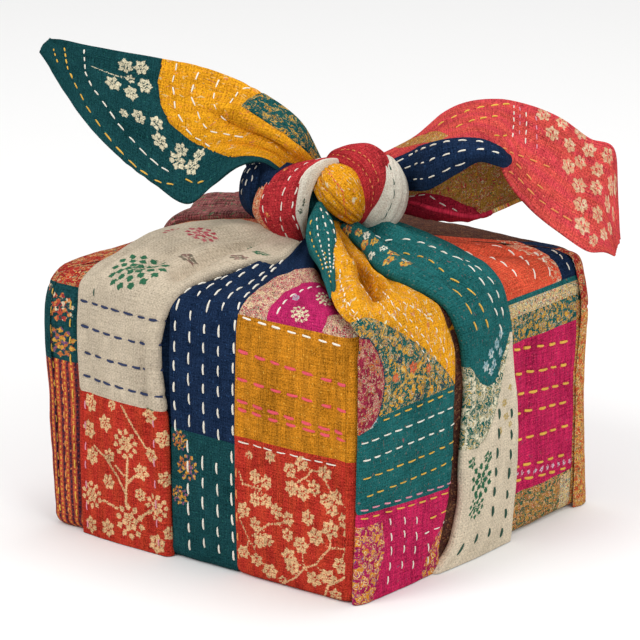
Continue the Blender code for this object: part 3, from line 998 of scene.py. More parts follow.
@dataclass
class Gore(ClothSheet):
    """The cloth over one upright face and its quarter of the top, up to the knot, and under the base.

    The profile gives, for each flat place v, how far out and how high the cloth is. The roundings give the
    radius of the upright edges there. The corner bulge gives, by height, how far the near left edge stands
    out. All are in mm.
    """

    face: Face = Face.FRONT
    crown: float = 1.0
    fine: tuple[float, float] = (-80.0, 80.0)
    step: float = 0.9
    coarse: float = 2.4
    past_edge: float = 3.0
    rise: float = 114.0
    roundings: tuple[tuple[float, float], ...] = ((95, 5.5), (112, 8), (126, 24), (150, 20), (186, 5))
    corner_bulge: tuple[tuple[float, float], ...] = (
        (0, 0.8), (40, 2.6), (75, 4.2), (100, 4.8), (112, 3.0), (122, 0.0)
    )
    profile: tuple[tuple[float, float, float], ...] = (
        (-16, 62, 0.3), (-4, 76.5, 0.3), (-1.2, 79, 0.9), (1.5, 80, 2.8), (8, 80.3, 8), (55, 80.5, 55),
        (100, 80.3, 100), (106.5, 79.6, 106.5), (112, 77.2, 111.6), (118, 72.5, 114.4), (126, 65, 115.9),
        (150, 41.5, 119.5), (170, 23, 122.5), (186, 9, 127),
    )

    def grid(self) -> FlatCloth:
        """The gore's undecorated shape."""
        u = self.stations(-HALF_BOX - self.past_edge, HALF_BOX + self.past_edge)
        v_at = np.array([row[0] for row in self.profile], float)
        v = np.concatenate([np.arange(GORE_START, 0, 2.0), np.arange(0, GORE_END, self.step)])
        shape = through(np.array([row[1:] for row in self.profile], float), v_at, v)
        out, up = shape[:, :1], shape[:, 1:]
        share = u[None, :] / HALF_BOX
        middle = 1 - np.clip(share, -1, 1) ** 2
        radius = np.interp(v, *zip(*self.roundings))[:, None]
        flat = np.abs(share) * out - (out - radius)
        angle = np.clip(flat / radius, 0, None) * math.pi / 4
        past = np.where(flat > 0, out - radius + radius * np.sin(angle), np.abs(share) * out)
        lateral = past * np.sign(share)
        depth = np.where(flat > 0, out - radius + radius * np.cos(angle), out + 0 * share)
        swell = np.sin(np.pi * np.clip(v / self.rise, 0, 1))[:, None] * middle
        depth = depth + self.crown * swell - 0.35 * (np.abs(share) > 1.01)
        on_top = np.clip((v - 108) / 14, 0, 1)[:, None] * middle
        height = up + 0.7 * (self.crown - 1) * on_top + 0 * share
        turn = self.face.value * math.pi / 2
        x = lateral * math.cos(turn) + depth * math.sin(turn)
        y = lateral * math.sin(turn) - depth * math.cos(turn)
        near = np.clip(-x / 20 - 3, 0, 1) * np.clip(-y / 40 - 1, 0, 1)
        x = x - near * np.interp(height, *zip(*self.corner_bulge))
        return FlatCloth(u, v, np.stack([x, y, height], axis=-1))

    def stations(self, low: float, high: float) -> np.ndarray:
        """The columns' places: close where the cloth shows, wide where it is covered."""
        places = [low]
        while places[-1] < high:
            shows = self.fine[0] - 1 <= places[-1] <= self.fine[1]
            places.append(places[-1] + (self.step if shows else self.coarse))
        return np.array(places)


# Stitches


@dataclass
class Sewing:
    """Collects the running stitches of every sheet and makes one piece of each thread."""

    seed: int = 31
    placed: dict[Thread, list[tuple]] = field(default_factory=dict)

    def take(self, cloth: FlatCloth, rows: Sequence[Running], lift: float = 0.0) -> None:
        """Places a sheet's stitches on its shaped surface.

        Args:
            cloth: The sheet's shaped grid.
            rows: Its rows of stitches.
            lift: How far the cloth's outside is from that grid, in mm.
        """
        normals = cloth.normals()
        rng = np.random.default_rng(self.seed + sum(len(found) for found in self.placed.values()))
        for row in rows:
            total = line_length(row.line)
            corners = np.concatenate(
                [[0], np.cumsum([math.dist(a, b) for a, b in zip(row.line, row.line[1:])])]
            )
            line = np.array(row.line, float)
            middle = row.start + row.length / 2
            while middle < total - row.length / 3:
                half = row.length * rng.uniform(0.42, 0.56)
                ends = np.array([middle - half, middle + half])
                flat_u = np.interp(ends, corners, line[:, 0]) + rng.normal(0, STITCH_JITTER, 2)
                flat_v = np.interp(ends, corners, line[:, 1]) + rng.normal(0, STITCH_JITTER, 2)
                ends = cloth.read(cloth.points, flat_u, flat_v)
                out = cloth.read(normals, flat_u[:1], flat_v[:1])[0]
                heading = ends[1] - ends[0]
                length = float(np.linalg.norm(heading))
                if length > 1.0:
                    centre = ends.mean(axis=0) + out * (STITCH_LIFT + lift)
                    size = (length / SLENDER, row.thick * rng.uniform(0.85, 1.12), row.thick)
                    self.placed.setdefault(row.thread, []).append((centre, heading / length, out, size))
                middle += row.pitch * rng.uniform(0.93, 1.07)

    def thread_finish(self, thread: Thread) -> bpy.types.Material:
        """Matt twisted cotton thread."""
        sketch = NodeSketch(f"thread_{thread.name.lower()}")
        place = sketch.add("ShaderNodeTexCoord").outputs["Object"]
        place = sketch.vector("MULTIPLY", place, TO_MM)
        grain = sketch.noise(place, (0.5, 0.5, 0.5), 2.0).outputs[0]
        broad = sketch.noise(place, (14.0, 14.0, 14.0)).outputs[0]
        tone = sketch.math("MULTIPLY_ADD", sketch.math("SUBTRACT", broad, 0.5), 0.8, grain)
        sketch.feed(
            sketch.shader.inputs["Base Color"],
            sketch.mix(tone, toned(thread.value, -0.3), toned(thread.value, 0.6))
        )
        sketch.shader.inputs["Roughness"].default_value = 0.8
        sketch.emboss(grain, 0.5, 0.0002)
        return sketch.material

    def stitch_tree(self, finish: bpy.types.Material) -> bpy.types.GeometryNodeTree:
        """Nodes that set one arched stitch on every point, turned and sized by the point's attributes."""
        tree = bpy.data.node_groups.new("running stitches", "GeometryNodeTree")
        tree.interface.new_socket("Geometry", in_out="INPUT", socket_type="NodeSocketGeometry")
        arch = tree.interface.new_socket("Arch Height", in_out="INPUT", socket_type="NodeSocketFloat")
        arch.default_value = ARCH_HEIGHT
        tree.interface.new_socket("Geometry", in_out="OUTPUT", socket_type="NodeSocketGeometry")

        def add(kind: str, **settings: object) -> bpy.types.Node:
            """Adds a node and sets its own choices."""
            node = tree.nodes.new(kind)
            for key, value in settings.items():
                setattr(node, key, value)
            return node

        def named(attribute: str, kind: str) -> bpy.types.NodeSocket:
            """A named attribute of the points."""
            node = add("GeometryNodeInputNamedAttribute", data_type=kind)
            node.inputs[0].default_value = attribute
            return node.outputs[0]

        source, sink = add("NodeGroupInput"), add("NodeGroupOutput")
        bow = add("GeometryNodeCurveQuadraticBezier")
        bow.inputs["Resolution"].default_value = 5
        bow.inputs["Start"].default_value = (-0.5 * SLENDER, 0, STITCH_FOOT)
        bow.inputs["End"].default_value = (0.5 * SLENDER, 0, STITCH_FOOT)
        top = add("ShaderNodeCombineXYZ")
        tree.links.new(source.outputs[1], top.inputs[2])
        tree.links.new(top.outputs[0], bow.inputs["Middle"])
        ring = add("GeometryNodeCurvePrimitiveCircle")
        ring.inputs["Resolution"].default_value = 5
        ring.inputs["Radius"].default_value = THREAD_RADIUS
        tube = add("GeometryNodeCurveToMesh")
        tube.inputs["Fill Caps"].default_value = True
        tree.links.new(bow.outputs[0], tube.inputs["Curve"])
        tree.links.new(ring.outputs[0], tube.inputs["Profile Curve"])
        points = add("GeometryNodeMeshToPoints")
        tree.links.new(source.outputs[0], points.inputs["Mesh"])
        turn = add("FunctionNodeAxesToRotation", primary_axis="Z", secondary_axis="X")
        tree.links.new(named("outward", "FLOAT_VECTOR"), turn.inputs[0])
        tree.links.new(named("heading", "FLOAT_VECTOR"), turn.inputs[1])
        spread = add("GeometryNodeInstanceOnPoints")
        tree.links.new(points.outputs[0], spread.inputs["Points"])
        tree.links.new(tube.outputs[0], spread.inputs["Instance"])
        tree.links.new(turn.outputs[0], spread.inputs["Rotation"])
        tree.links.new(named("stitch_size", "FLOAT_VECTOR"), spread.inputs["Scale"])
        real = add("GeometryNodeRealizeInstances")
        tree.links.new(spread.outputs[0], real.inputs[0])
        smooth = add("GeometryNodeSetShadeSmooth")
        tree.links.new(real.outputs[0], smooth.inputs[0])
        finished = add("GeometryNodeSetMaterial")
        finished.inputs["Material"].default_value = finish
        tree.links.new(smooth.outputs[0], finished.inputs["Geometry"])
        tree.links.new(finished.outputs[0], sink.inputs[0])
        return tree

    def sew(self) -> None:
        """Makes one piece of all the stitches in each thread."""
        for thread, found in self.placed.items():
            name = f"stitches_{thread.name.lower()}"
            mesh = bpy.data.meshes.new(name)
            mesh.from_pydata(np.array([stitch[0] for stitch in found]) * MM, [], [])
            for label, values, unit in (("heading", 1, 1.0), ("outward", 2, 1.0), ("stitch_size", 3, MM)):
                data = np.array([stitch[values] for stitch in found], float) * unit
                mesh.attributes.new(label, "FLOAT_VECTOR", "POINT").data.foreach_set("vector", data.ravel())
            piece = in_scene(name, mesh)
            maker = piece.modifiers.new("sewing", "NODES")
            maker.node_group = self.stitch_tree(self.thread_finish(thread))
            arch = maker.node_group.interface.items_tree["Arch Height"].identifier
            maker[arch] = ARCH_HEIGHT
            piece = applied(piece)
            for attribute in ("heading", "outward", "stitch_size"):
                if attribute in piece.data.attributes:
                    piece.data.attributes.remove(piece.data.attributes[attribute])
            ride_as_cloth(piece)
            LOG.info("%s: %d stitches, %d faces", name, len(found), len(piece.data.polygons))


# Studio


@dataclass
class Studio:
    """The pale floor, the soft lights and the camera at the photograph's angle."""

    camera_place: Point = (1.02, -1.2807, 0.5722)
    azimuth: float = 38.54
    elevation: float = 16.56
    lens: float = 229.4
    floor_half: float = 6.0
    sky: float = 0.6

    def build(self) -> None:
        """Makes the floor, the lights and the camera."""
        self.lay_floor()
        self.hang_light("key", (-0.6, -1.8, 1.7), 0.9, 22.0)
        self.hang_light("fill", (1.7, -0.5, 1.2), 1.2, 13.0)
        self.hang_light("top", (0.1, 0.4, 1.9), 1.0, 13.0)
        world = bpy.data.worlds.new("studio")
        world.use_nodes = True
        world.node_tree.nodes["Background"].inputs[0].default_value = WHITE_SKY
        world.node_tree.nodes["Background"].inputs[1].default_value = self.sky
        bpy.context.scene.world = world
        bpy.context.scene.view_settings.view_transform = "Standard"
        self.set_camera()

    def lay_floor(self) -> None:
        """A plain pale floor."""
        half = self.floor_half
        mesh = bpy.data.meshes.new("studio_floor")
        mesh.from_pydata(
            [(-half, -half, 0), (half, -half, 0), (half, half, 0), (-half, half, 0)], [], [(0, 1, 2, 3)]
        )
        sketch = NodeSketch("floor_paper")
        sketch.shader.inputs["Base Color"].default_value = PAPER
        sketch.shader.inputs["Roughness"].default_value = 0.95
        mesh.materials.append(sketch.material)
        floor = in_scene("studio_floor", mesh)

    def hang_light(self, name: str, place: Point, size: float, power: float) -> None:
        """A square soft light that faces the gift.

        Args:
            name: The light's name.
            place: Where it hangs, in metres.
            size: Its side in metres.
            power: Its power in watts.
        """
        data = bpy.data.lights.new(name, "AREA")
        data.shape = "SQUARE"
        data.size = size
        data.energy = power
        light = in_scene(name, data)
        aim = (Vector((0, 0, 0.1)) - Vector(place)).to_track_quat("-Z", "Y")
        light.matrix_world = Matrix.Translation(Vector(place)) @ aim.to_matrix().to_4x4()

    def set_camera(self) -> None:
        """The camera, level and without shift."""
        azimuth, elevation = math.radians(self.azimuth), math.radians(self.elevation)
        back = Vector(
            (
                math.sin(azimuth) * math.cos(elevation), -math.cos(azimuth) * math.cos(elevation),
                math.sin(elevation)
            )
        )
        right = Vector((math.cos(azimuth), math.sin(azimuth), 0))
        turn = Matrix((right, back.cross(right), back)).transposed().to_4x4()
        data = bpy.data.cameras.new("camera")
        data.sensor_width = 36
        data.lens = self.lens
        data.clip_end = 50
        camera = in_scene("camera", data)
        camera.matrix_world = Matrix.Translation(Vector(self.camera_place)) @ turn
        bpy.context.scene.camera = camera


# The patchwork's cottons

NAVY = Cotton("navy_cotton", "06203e", fleck="1c3c62", flecks=0.28, contrast=1.1)
TEAL = Cotton(
    "teal_cotton", "053c40", fleck="1c5a52", flecks=0.3,
    prints=("d99a3a e0a84c c4703c 8a5a7a", "c4553c d98a4c e3d0b0 b03c3c", "8a5a7a c4553c d98a3a", "cfc6a8"),
)
TEAL_FLECKED = Cotton(
    "flecked_teal_cotton", "135a5a", fleck="6a6a5c", flecks=0.22, streak="7a6a5c 4a7a78 8a5f66", streaks=0.12,
    prints=("d9a03a e0b85c c4703c", "8fb3bb c9d4d0", "c26a6a d98a8a", "e3dcc4"),
)
TEAL_GOLD = Cotton(
    "teal_gold_cotton", "0b4a4a", fleck="c9962c", flecks=0.26,
    confetti=Confetti(4.2, "d9982c c9a24c 135a5a e0b05c 2a6a5c 0d5452 0b4a4a", 0.4, 2.0),
)
EAR_YELLOW = Cotton(
    "ear_yellow_cotton", "e2950f", fleck="d9822a", flecks=0.34, ribs=Ribs(7.0, 0.2, "c87812"),
    streak="ecc88a e0884a", streaks=0.26
)
MUSTARD = Cotton(
    "mustard_cotton", "bd7810", fleck="d9a03c", flecks=0.25, contrast=1.1, ribs=Ribs(7.4, 0.5, "96600c")
)
YELLOW = Cotton(
    "yellow_cotton", "e2940f", fleck="e8b04a", flecks=0.3, ribs=Ribs(6.0, 0.16, "c47410"),
    streak="edd2a4 e3a078 ecd8b0 d98648", streaks=0.42,
    prints=("efd9b0", "c9503c", "efe2c0", "b9601a"),
)
RED = Cotton(
    "red_floral_cotton", "a8281b", fleck="c4482a", flecks=0.3, contrast=1.1, ribs=Ribs(7.5, 0.16, "cf5a28"),
    prints=("d2aa7c", "c98a5a", "8a1f1c", "e3c9a0"),
)
MAGENTA = Cotton(
    "magenta_cotton", "bc1b50", fleck="c8405c", flecks=0.3, contrast=1.15, ribs=Ribs(3.6, 0.35, "861343"),
    streak="7a5a7a c43c4c a84a5c", streaks=0.12,
    prints=("d9a646", "c4aeb8", "8fa0a6", "d27a4a"),
)
MAGENTA_GOLD = Cotton(
    "magenta_gold_cotton", "a0184e", fleck="e0922c", flecks=0.3,
    confetti=Confetti(3.4, "e0902a d98a2c e8a84c 8a4a8a c4403c f0d8a8", 0.46, 1.5),
)
LINEN = Cotton(
    "cream_linen", "beb09b", fleck="a0927e", flecks=0.2, contrast=0.55, ribs=Ribs(9.0, 0.16, "b3a58d"),
    prints=("2a6044", "7a7262 8a6a62", "b04452 c46a70", "b39a5c"),
)
STRIP_LINEN = replace(LINEN, name="strip_linen", ground="d3c5ad")
LEAFY_LINEN = Cotton(
    "leafy_linen", "d9ccb0", fleck="c9a850", flecks=0.2,
    confetti=Confetti(4.4, "1a5f55 1f6a5c ddd0b4 2a7a68 d0a850 ddd0b4 185a50", 0.5, 2.2),
)
HEM_LINEN = Cotton("hem_linen", "fbdcc6", fleck="d0b4a0", flecks=0.16, contrast=0.5, prints=("4a5a4a",))
ORANGE = Cotton(
    "orange_cotton", "d25034", fleck="e0784c", flecks=0.36, contrast=1.1, ribs=Ribs(5.0, 0.16, "a82c20")
)
ORANGE_FLORAL = Cotton(
    "orange_floral_cotton", "cf472c", fleck="e8b088", flecks=0.3,
    confetti=Confetti(3.4, "e8d0a8 cf472c e8b088 d9603c efdcc0", 0.42, 1.6),
)
CORAL = Cotton(
    "coral_cotton", "b02b31", fleck="d25a50", flecks=0.3, contrast=1.15, ribs=Ribs(3.0, 0.2, "8c1c28"),
    prints=("e0a482 d27a52", "dd8a50", "8a1c2c", "e8d2b0"),
)
EAR_CORAL = Cotton(
    "ear_coral_cotton", "c23d44", fleck="dc6a52", flecks=0.34, contrast=1.1, ribs=Ribs(9.0, 0.3, "cf5a34"),
    prints=("e3b890 e0a884 ebcaa8", "e08a4c", "a82850", "ead6b8"),
)
CORAL_FLORAL = Cotton(
    "coral_floral_cotton", "d0704c", fleck="e3b088", flecks=0.36,
    confetti=Confetti(2.2, "e3b890 c4503c dd8a50 c4404a efd4b0", 0.46, 1.4),
)
CRIMSON = Cotton("crimson_cotton", "9c1730", fleck="c03a44", flecks=0.28)
WOVEN_RIBS = Cotton(
    "woven_rib_cotton", "66242a", ribs=Ribs(3.4, 0.2, "74242a"), dashes="b04c30 cf9038 1a2034",
    fleck="d07a4c", flecks=0.26
)
SMALL_PAISLEY = Cotton(
    "small_paisley_cotton", "cdb08c", fleck="b0203c", flecks=0.3,
    confetti=Confetti(3.2, "a81c3c c44a5c e8dabc 2f6248 b02040 d98a80 ead9ba", 0.52, 1.7),
)
EAR_PAISLEY = Cotton(
    "ear_paisley_cotton", "a87c30", fleck="e8c05a", flecks=0.3,
    confetti=Confetti(3.0, "e0aa38 c2304a 8a8a3c ead29c b8283a d9784c 3f6a44", 0.52, 1.7),
)
RED_PAISLEY = Cotton(
    "red_paisley_cotton", "98241f", fleck="d9883c", flecks=0.28,
    confetti=Confetti(3.6, "c9402c e3b070 2f6a5c b02830 dfa04c d9c49a b8302c", 0.4, 1.8),
)
HALF_ROUND = Cotton(
    "half_round_cotton", "8a2038", fleck="dcae84", flecks=0.24,
    confetti=Confetti(4.2, "b02c48 e3cba4 12404a d9823c a8243f c9b890 c8606a", 0.46, 2.4),
)
PLUM_SPRIG = Cotton(
    "plum_sprig_cotton", "ac1a58", fleck="c4486c", flecks=0.3, prints=("e3cda8", "a89cae")
)
GREEN_PAISLEY = Cotton(
    "green_paisley_cotton", "2f5a44", fleck="d9b46a", flecks=0.34,
    confetti=Confetti(2.4, "3d6a44 e0a84c c2632c d9cda0 b8503a c9803c", 0.5, 1.4),
)
GOLD_FLORAL = Cotton(
    "gold_floral_cotton", "125450", fleck="d9a23c", flecks=0.3,
    confetti=Confetti(3.0, "d9922c e0a83c 1a605a c9783c d6d4b0 135a5a e0b04c", 0.42, 1.8),
    prints=("e0a83c d9922c e6c070", "1a3a4a", "c9603c"),
)
BEADED = Cotton(
    "beaded_cotton", "b8502c", fleck="e8c05a", flecks=0.36,
    confetti=Confetti(2.8, "e09a2c c9452c ead9a8 d98a3c 6a8a5c a8302f e8c870", 0.52, 1.4),
)
CREAM_FLORAL = Cotton(
    "cream_floral_cotton", "c9b27c", fleck="c9603c", flecks=0.3,
    confetti=Confetti(2.6, "efe6c8 2f6a5c e0a84c efe6c8 c9603c 3a6a5a", 0.48, 1.5),
)
# Dark brown floral cotton: a real band at the top of the back, and also laid in the gaps beside the folded
# strip as painted shade.
BROWN_FLORAL_AND_PAINTED_SHADE = Cotton(
    "brown_floral_and_painted_shade_cotton", "4a2c24", fleck="9a7450", flecks=0.3,
    confetti=Confetti(3.0, "6a4432 5a3a2c 8a5f42 5c2a28 3c2624", 0.42, 1.6),
)
DUSTY = Cotton(
    "dusty_pink_cotton", "8a4c4c", fleck="5c7a5c", flecks=0.34, contrast=1.3, slub=2.2,
    ribs=Ribs(2.6, 0.5, "56403c"),
    streak="b87a74 5f7a5a", streaks=0.4,
)
PLAIN_BASE = Cotton("plain_base_cotton", "8f2a24", fleck="b0443a", flecks=0.2)

BODY_HEART = (0.0, 0.0, 55.0)
KNOT_HEART = (0.0, 0.0, 136.0)


# The cloth round the box


@dataclass
class BodyWrap:
    """The cloth drawn tight over the box: its four faces, its top and its base."""

    seam_navy: tuple[float, float] = (-13.7, 20.5)
    navy_foot: float = 56.0
    mustard_foot: float = 59.6
    mustard_top: float = 110.0
    base_half: float = 62.5

    def front(self) -> Gore:
        """The front face, with most of its patches in view."""
        left, right = self.seam_navy
        teal_flowers = [
            *medallions(Ink.FIRST, 2, (-4.6, 41, 5.8), (-8.8, 51.5, 4.4), (-8.8, 29, 4.4)),
            *flowers(Ink.THIRD, 5, (-4.6, 41, 1.6)),
        ]
        red_sprigs = [
            *branch(
                ((22.9, 45), (24.7, 40.5), (33.5, 40)), ((31, 44.6), (37, 43.6), (31, 35.4), (37, 36.2)),
                lobed=True
            ),
            *branch(
                ((53.5, 47.5), (57.1, 49.5), (59.8, 53.1)),
                ((49, 51), (54.6, 55), (66, 53), (49.6, 43.8), (55.6, 43), (61, 46)),
                length=5.4, lobed=True,
            ),
            *branch(
                ((66, 50.5), (69, 46)), ((66.4, 42.4), (71.8, 44.5), (69.4, 39.0)), length=4.8, lobed=True
            ),
            *branch(((73.3, 42.3), (78.7, 41.4), (79.6, 46.8)), ((75.1, 35.6),), lobed=True),
            *branch(
                ((29.2, 19.8), (34.6, 24.3), (38.2, 27), (43.6, 27.9)),
                ((41.8, 33.2), (48, 31.2), (47.6, 24.4), (31, 25.4), (37.5, 20)),
                length=5.0, lobed=True,
            ),
            *branch(
                ((22.9, 26), (27.4, 17.1), (30.1, 15)), ((25, 30), (33.5, 18.6), (24.4, 11), (31.5, 9.0)),
                length=5.6, lobed=True
            ),
            *branch(
                (
                    (44.5, 0), (51.7, 5.4), (56.2, 11.7), (61.6, 14.4), (65, 19), (68.8, 23.4), (76, 24.3),
                    (79.6, 22.5)
                ),
                (
                    (61.6, 26.6), (54.4, 21.6), (68.6, 31), (48.4, 15), (73.6, 16.6), (61, 7), (50, 10.4),
                    (79, 31), (67.6, 10)
                ),
                length=6.4,
                lobed=True,
            ),
            Stem(((66, -2), (67.9, 5.4), (79.6, 14.4)), 0.55),
            *medallions(
                Ink.FIRST, 1, (58, 33.6, 3.6), (72, 1.5, 3.8), (38.4, 5.0, 4.4), (39.1, 54.6, 3.0),
                (28, 53, 2.2), (45, 2, 2.6)
            ),
        ]
        teal_sprigs = [
            *medallions(Ink.SECOND, 2, (-71, 96, 6.6), (-80, 103, 5.0)),
            *medallions(Ink.FIRST, 2, (-70.5, 81, 6.8), (-82, 84, 5.0)),
        ]
        plum = [
            *medallions(Ink.FIRST, 2, (52.6, 117, 5.4), (68, 131, 6.0)),
            *medallions(Ink.SECOND, 1, (48, 128, 2.8)),
        ]
        stitches = [
            *rows_between(Thread.WHITE, ((left + 2.6, 54), (left + 2.6, 118), (left + 2.6, 176)),
                          ((right - 0.9, 54), (right - 0.9, 118), (right - 0.9, 176)), 5),
            *(Running(Thread.PINK, ((right + 0.5, low), (77.5, low - fall)), 8.1, 5.3, 1.7, 1.0)
              for low, fall in ((95.4, 4.2), (83.9, 3.1), (74.8, 4.0), (71.4, 3.0))),
            Running(Thread.WHITE, ((right + 0.5, 109), (78, 106.6)), 7.9, 4.4, 1.1),
            Running(Thread.WHITE, ((right + 0.5, 57.6), (79, 57.0)), 6.4, 4.4, 0.75),
            Running(Thread.ORANGE, ((right + 1.0, 4), (right + 0.8, 54)), 9.0, 3.6, 0.7),
            Running(Thread.WHITE, ((40.0, 112), (41.5, 120), (44, 128), (52, 136), (68, 143)), 7.4, 4.2, 0.9),
            Running(Thread.ORANGE, ((-70.6, 4), (-70.6, 72)), 6.0, 3.0, 0.8),
            Running(Thread.YELLOW, ((-66.2, 4), (-66.2, 104)), 7.6, 3.4, 0.8),
            Running(Thread.YELLOW, ((-74.9, 4), (-74.9, 104)), 7.9, 3.4, 0.8),
            *rows_between(
                Thread.WHITE, ((left + 9.2, 3), (left + 9.2, 54)), ((right - 1.6, 3), (right - 1.6, 54)), 4,
                8.4, 5.0
            ),
        ]
        return Gore(
            "front_cloth", inside=BODY_HEART, held="stretched", face=Face.FRONT,
            patches=[
                Patch(NAVY, span(-90, 90, -20, 200)), Patch(WOVEN_RIBS, span(-90, -61, -20, 73)),
                Patch(TEAL, span(-90, -61, 73, 106)), Patch(RED_PAISLEY, span(-90, -61, 106, 200)),
                Patch(TEAL, span(left - 12, right, -20, self.navy_foot)),
                Patch(RED, span(right, 90, -20, self.mustard_foot)),
                Patch(MUSTARD, span(right, 90, self.mustard_foot, self.mustard_top)),
                Patch(SMALL_PAISLEY, (
                    (right, self.mustard_top), (22, 118), (23.5, 130), (29.2, 139.5), (38.2, 151),
                    (61.6, 158), (90, 160),
                    (90, self.mustard_top),
                )),
                Patch(PLUM_SPRIG, (
                    (35.5, self.mustard_top), (36.4, 119.7), (39.1, 131.4), (49, 141.3), (67.9, 147.6),
                    (90, 149), (90, 122.4),
                    (75, 122.4), (68.8, 118.8), (64.3, self.mustard_top),
                )),
            ],
            seams=[
                ((right, -10), (right, 190)), ((left - 8, self.navy_foot), (right, self.navy_foot)),
                ((right, self.mustard_foot), (80, self.mustard_foot)),
                ((right, self.mustard_top), (80, self.mustard_top)),
                ((36.4, 119.7), (39.1, 131.4), (49, 141.3), (67.9, 147.6)),
                ((75, 122.4), (68.8, 118.8), (64.3, 110)),
                ((-80, 73), (-62, 73)), ((-80, 106), (-62, 106)),
            ],
            motifs=teal_flowers + red_sprigs + teal_sprigs + plum,
            stitches=stitches,
            creases=[
                Crease(((0, 120), (2, 150), (3, 180)), 1.2, 5.0),
                Crease(((12, 122), (12, 150), (9, 180)), -1.2, 4.0),
                Crease(((-8, 122), (-7, 150), (-5, 180)), -1.0, 3.5),
                Crease(((30, 124), (28, 150), (22, 180)), 1.0, 4.5),
                Crease(((-38, 122), (-38, 150), (-38, 186)), -6.0, 20.0),
                Crease(((-24, 110), (-22, 130), (-20, 150), (-15, 186)), -5.0, 8.0),
                Crease(((86, 118), (82, 140), (72, 160), (64, 186)), -8.0, 9.0),
                Crease(((left - 3, 2), (left - 3.4, 60), (left - 4, 112)), -4.0, 2.6),
                Crease(((-62, 2), (-62, 60), (-62, 108)), -2.6, 2.2),
                Crease(((79.6, 2), (79.6, 60), (79.6, 106)), -2.4, 1.8),
                Crease(((72, 0), (71, 60), (69, 108)), -0.8, 3.0),
                Crease(((26, 10), (27, 60), (25, 104)), -0.5, 4.0),
            ],
            seed=11,
        )

    def right(self) -> Gore:
        """The side face, with its far third in view."""
        stitches = [
            Running(Thread.WHITE, ((43.6, 106), (48, 116), (58, 125), (64, 131), (66, 142)), 7.0, 4.4, 0.95),
            Running(
                Thread.WHITE, ((32.8, 108), (35.5, 116), (38.2, 122.4), (44, 131), (50, 140)), 7.2, 4.4, 0.95,
                start=3
            ),
            Running(Thread.WHITE, ((54, 105), (57, 114), (64, 121)), 7.0, 3.6, 0.9),
        ]
        stitches += [
            Running(Thread.YELLOW, ((26, low), (70.4, low - fall)), 8.4, 4.6, 1.5, start=i * 1.7 % 4)
            for i, (low, fall) in enumerate(
                ((81.4, 6.4), (70.6, 5.6), (61.6, 5.0), (53.4, 4.8), (42, 3.4), (31, 4.8), (25, 5.0))
            )
        ]
        stitches += [
            Running(Thread.WHITE, ((68.4, 104), (68.6, 113), (76, 119)), 5.4, 3.4, 0.8),
            Running(Thread.WHITE, ((72.4, 104), (74, 113)), 5.4, 3.4, 0.8),
        ]
        return Gore(
            "side_cloth", inside=BODY_HEART, held="stretched", face=Face.RIGHT, fine=(14.0, 80.0),
            patches=[
                Patch(MAGENTA, span(-90, 90, -20, 90)), Patch(ORANGE, span(-90, 90, 90, 200)),
                Patch(GREEN_PAISLEY, span(20, 90, -20, 19)), Patch(GOLD_FLORAL, span(20, 90, 84, 95)),
                Patch(CREAM_FLORAL, span(20, 90, 95, 101)), Patch(TEAL_FLECKED, span(20, 90, 101, 103)),
                Patch(ORANGE_FLORAL, ((55.5, 103), (55, 108), (57.5, 118), (62, 124), (90, 133), (90, 103))),
                Patch(NAVY, ((62, 103), (62, 108), (63, 114), (69, 119), (90, 127), (90, 103))),
                Patch(BEADED, span(76, 90, 98, 112)), Patch(BROWN_FLORAL_AND_PAINTED_SHADE, ((80, 112), (90, 122), (90, 112))),
                Patch(BEADED, span(70.8, 90, -20, 92)), Patch(CREAM_FLORAL, span(62, 70, -20, 18)),
                # Painted shade: dark brown cloth laid in the trough beside the folded strip's left edge,
                # where the gap is in shadow.
                Patch(BROWN_FLORAL_AND_PAINTED_SHADE, span(-34, 0, -20, 150)),
                Patch(RED, span(-90, -50, -20, 59.6)), Patch(MUSTARD, span(-90, -50, 59.6, 111)),
                Patch(SMALL_PAISLEY, span(-90, -50, 111, 200)),
            ],
            seams=[
                ((26, 20), (80, 20)), ((26, 84), (80, 84)), ((26, 95), (80, 95)), ((26, 103), (80, 103)),
                ((55.4, 104), (57.5, 118), (62, 124), (80, 130)),
                ((62, 104), (63, 114), (69, 119), (80, 123)), ((70.8, 0), (70.8, 92)),
            ],
            motifs=flowers(Ink.SECOND, 5, *((29 + 4.4 * i, 27.4 - 0.5 * i, 1.5) for i in range(10))),
            stitches=stitches,
            creases=[
                Crease(((-25, 2), (-19, 12), (-14, 30), (-12, 50), (-12, 90), (-15, 104)), -4.2, 5.0),
                Crease(((-62, 114), (-62, 186)), -7.0, 22.0, 4.0),
                Crease(((-18, 114), (-18, 186)), -7.0, 22.0, 4.0),
                Crease(((34, 5), (35, 50), (34, 98)), -0.7, 3.0),
                Crease(((48, 10), (47, 60), (48, 100)), 0.6, 5.0),
                Crease(((58, 118), (44, 140), (28, 165)), -1.4, 4.0),
                Crease(((40, 116), (34, 140), (22, 165)), 1.4, 5.0),
                Crease(((68, 118), (56, 145), (36, 170)), 1.3, 4.5),
            ],
            seed=23,
        )

    def back(self) -> Gore:
        """The hidden back face, finished plainly."""
        return Gore(
            "back_cloth", inside=BODY_HEART, held="stretched", face=Face.BACK, fine=(0.0, 0.0), step=1.6,
            patches=[
                Patch(PLAIN_BASE, span(-90, 90, -20, 112)), Patch(BROWN_FLORAL_AND_PAINTED_SHADE, span(-90, 90, 112, 200))
            ],
            seams=[((-80, 112), (80, 112))], seed=29,
        )

    def left(self) -> Gore:
        """The hidden left face, whose bulge and top show beside the band."""
        return Gore(
            "left_cloth", inside=BODY_HEART, held="stretched", face=Face.LEFT, crown=3.5, fine=(20.0, 80.0),
            step=1.4,
            patches=[
                Patch(PLAIN_BASE, span(-90, 90, -20, 104)), Patch(RED_PAISLEY, span(-90, 90, 104, 200)),
                Patch(WOVEN_RIBS, span(62, 90, -20, 73)), Patch(TEAL, span(62, 90, 73, 106)),
            ],
            seams=[((-80, 104), (80, 104))], seed=37,
        )

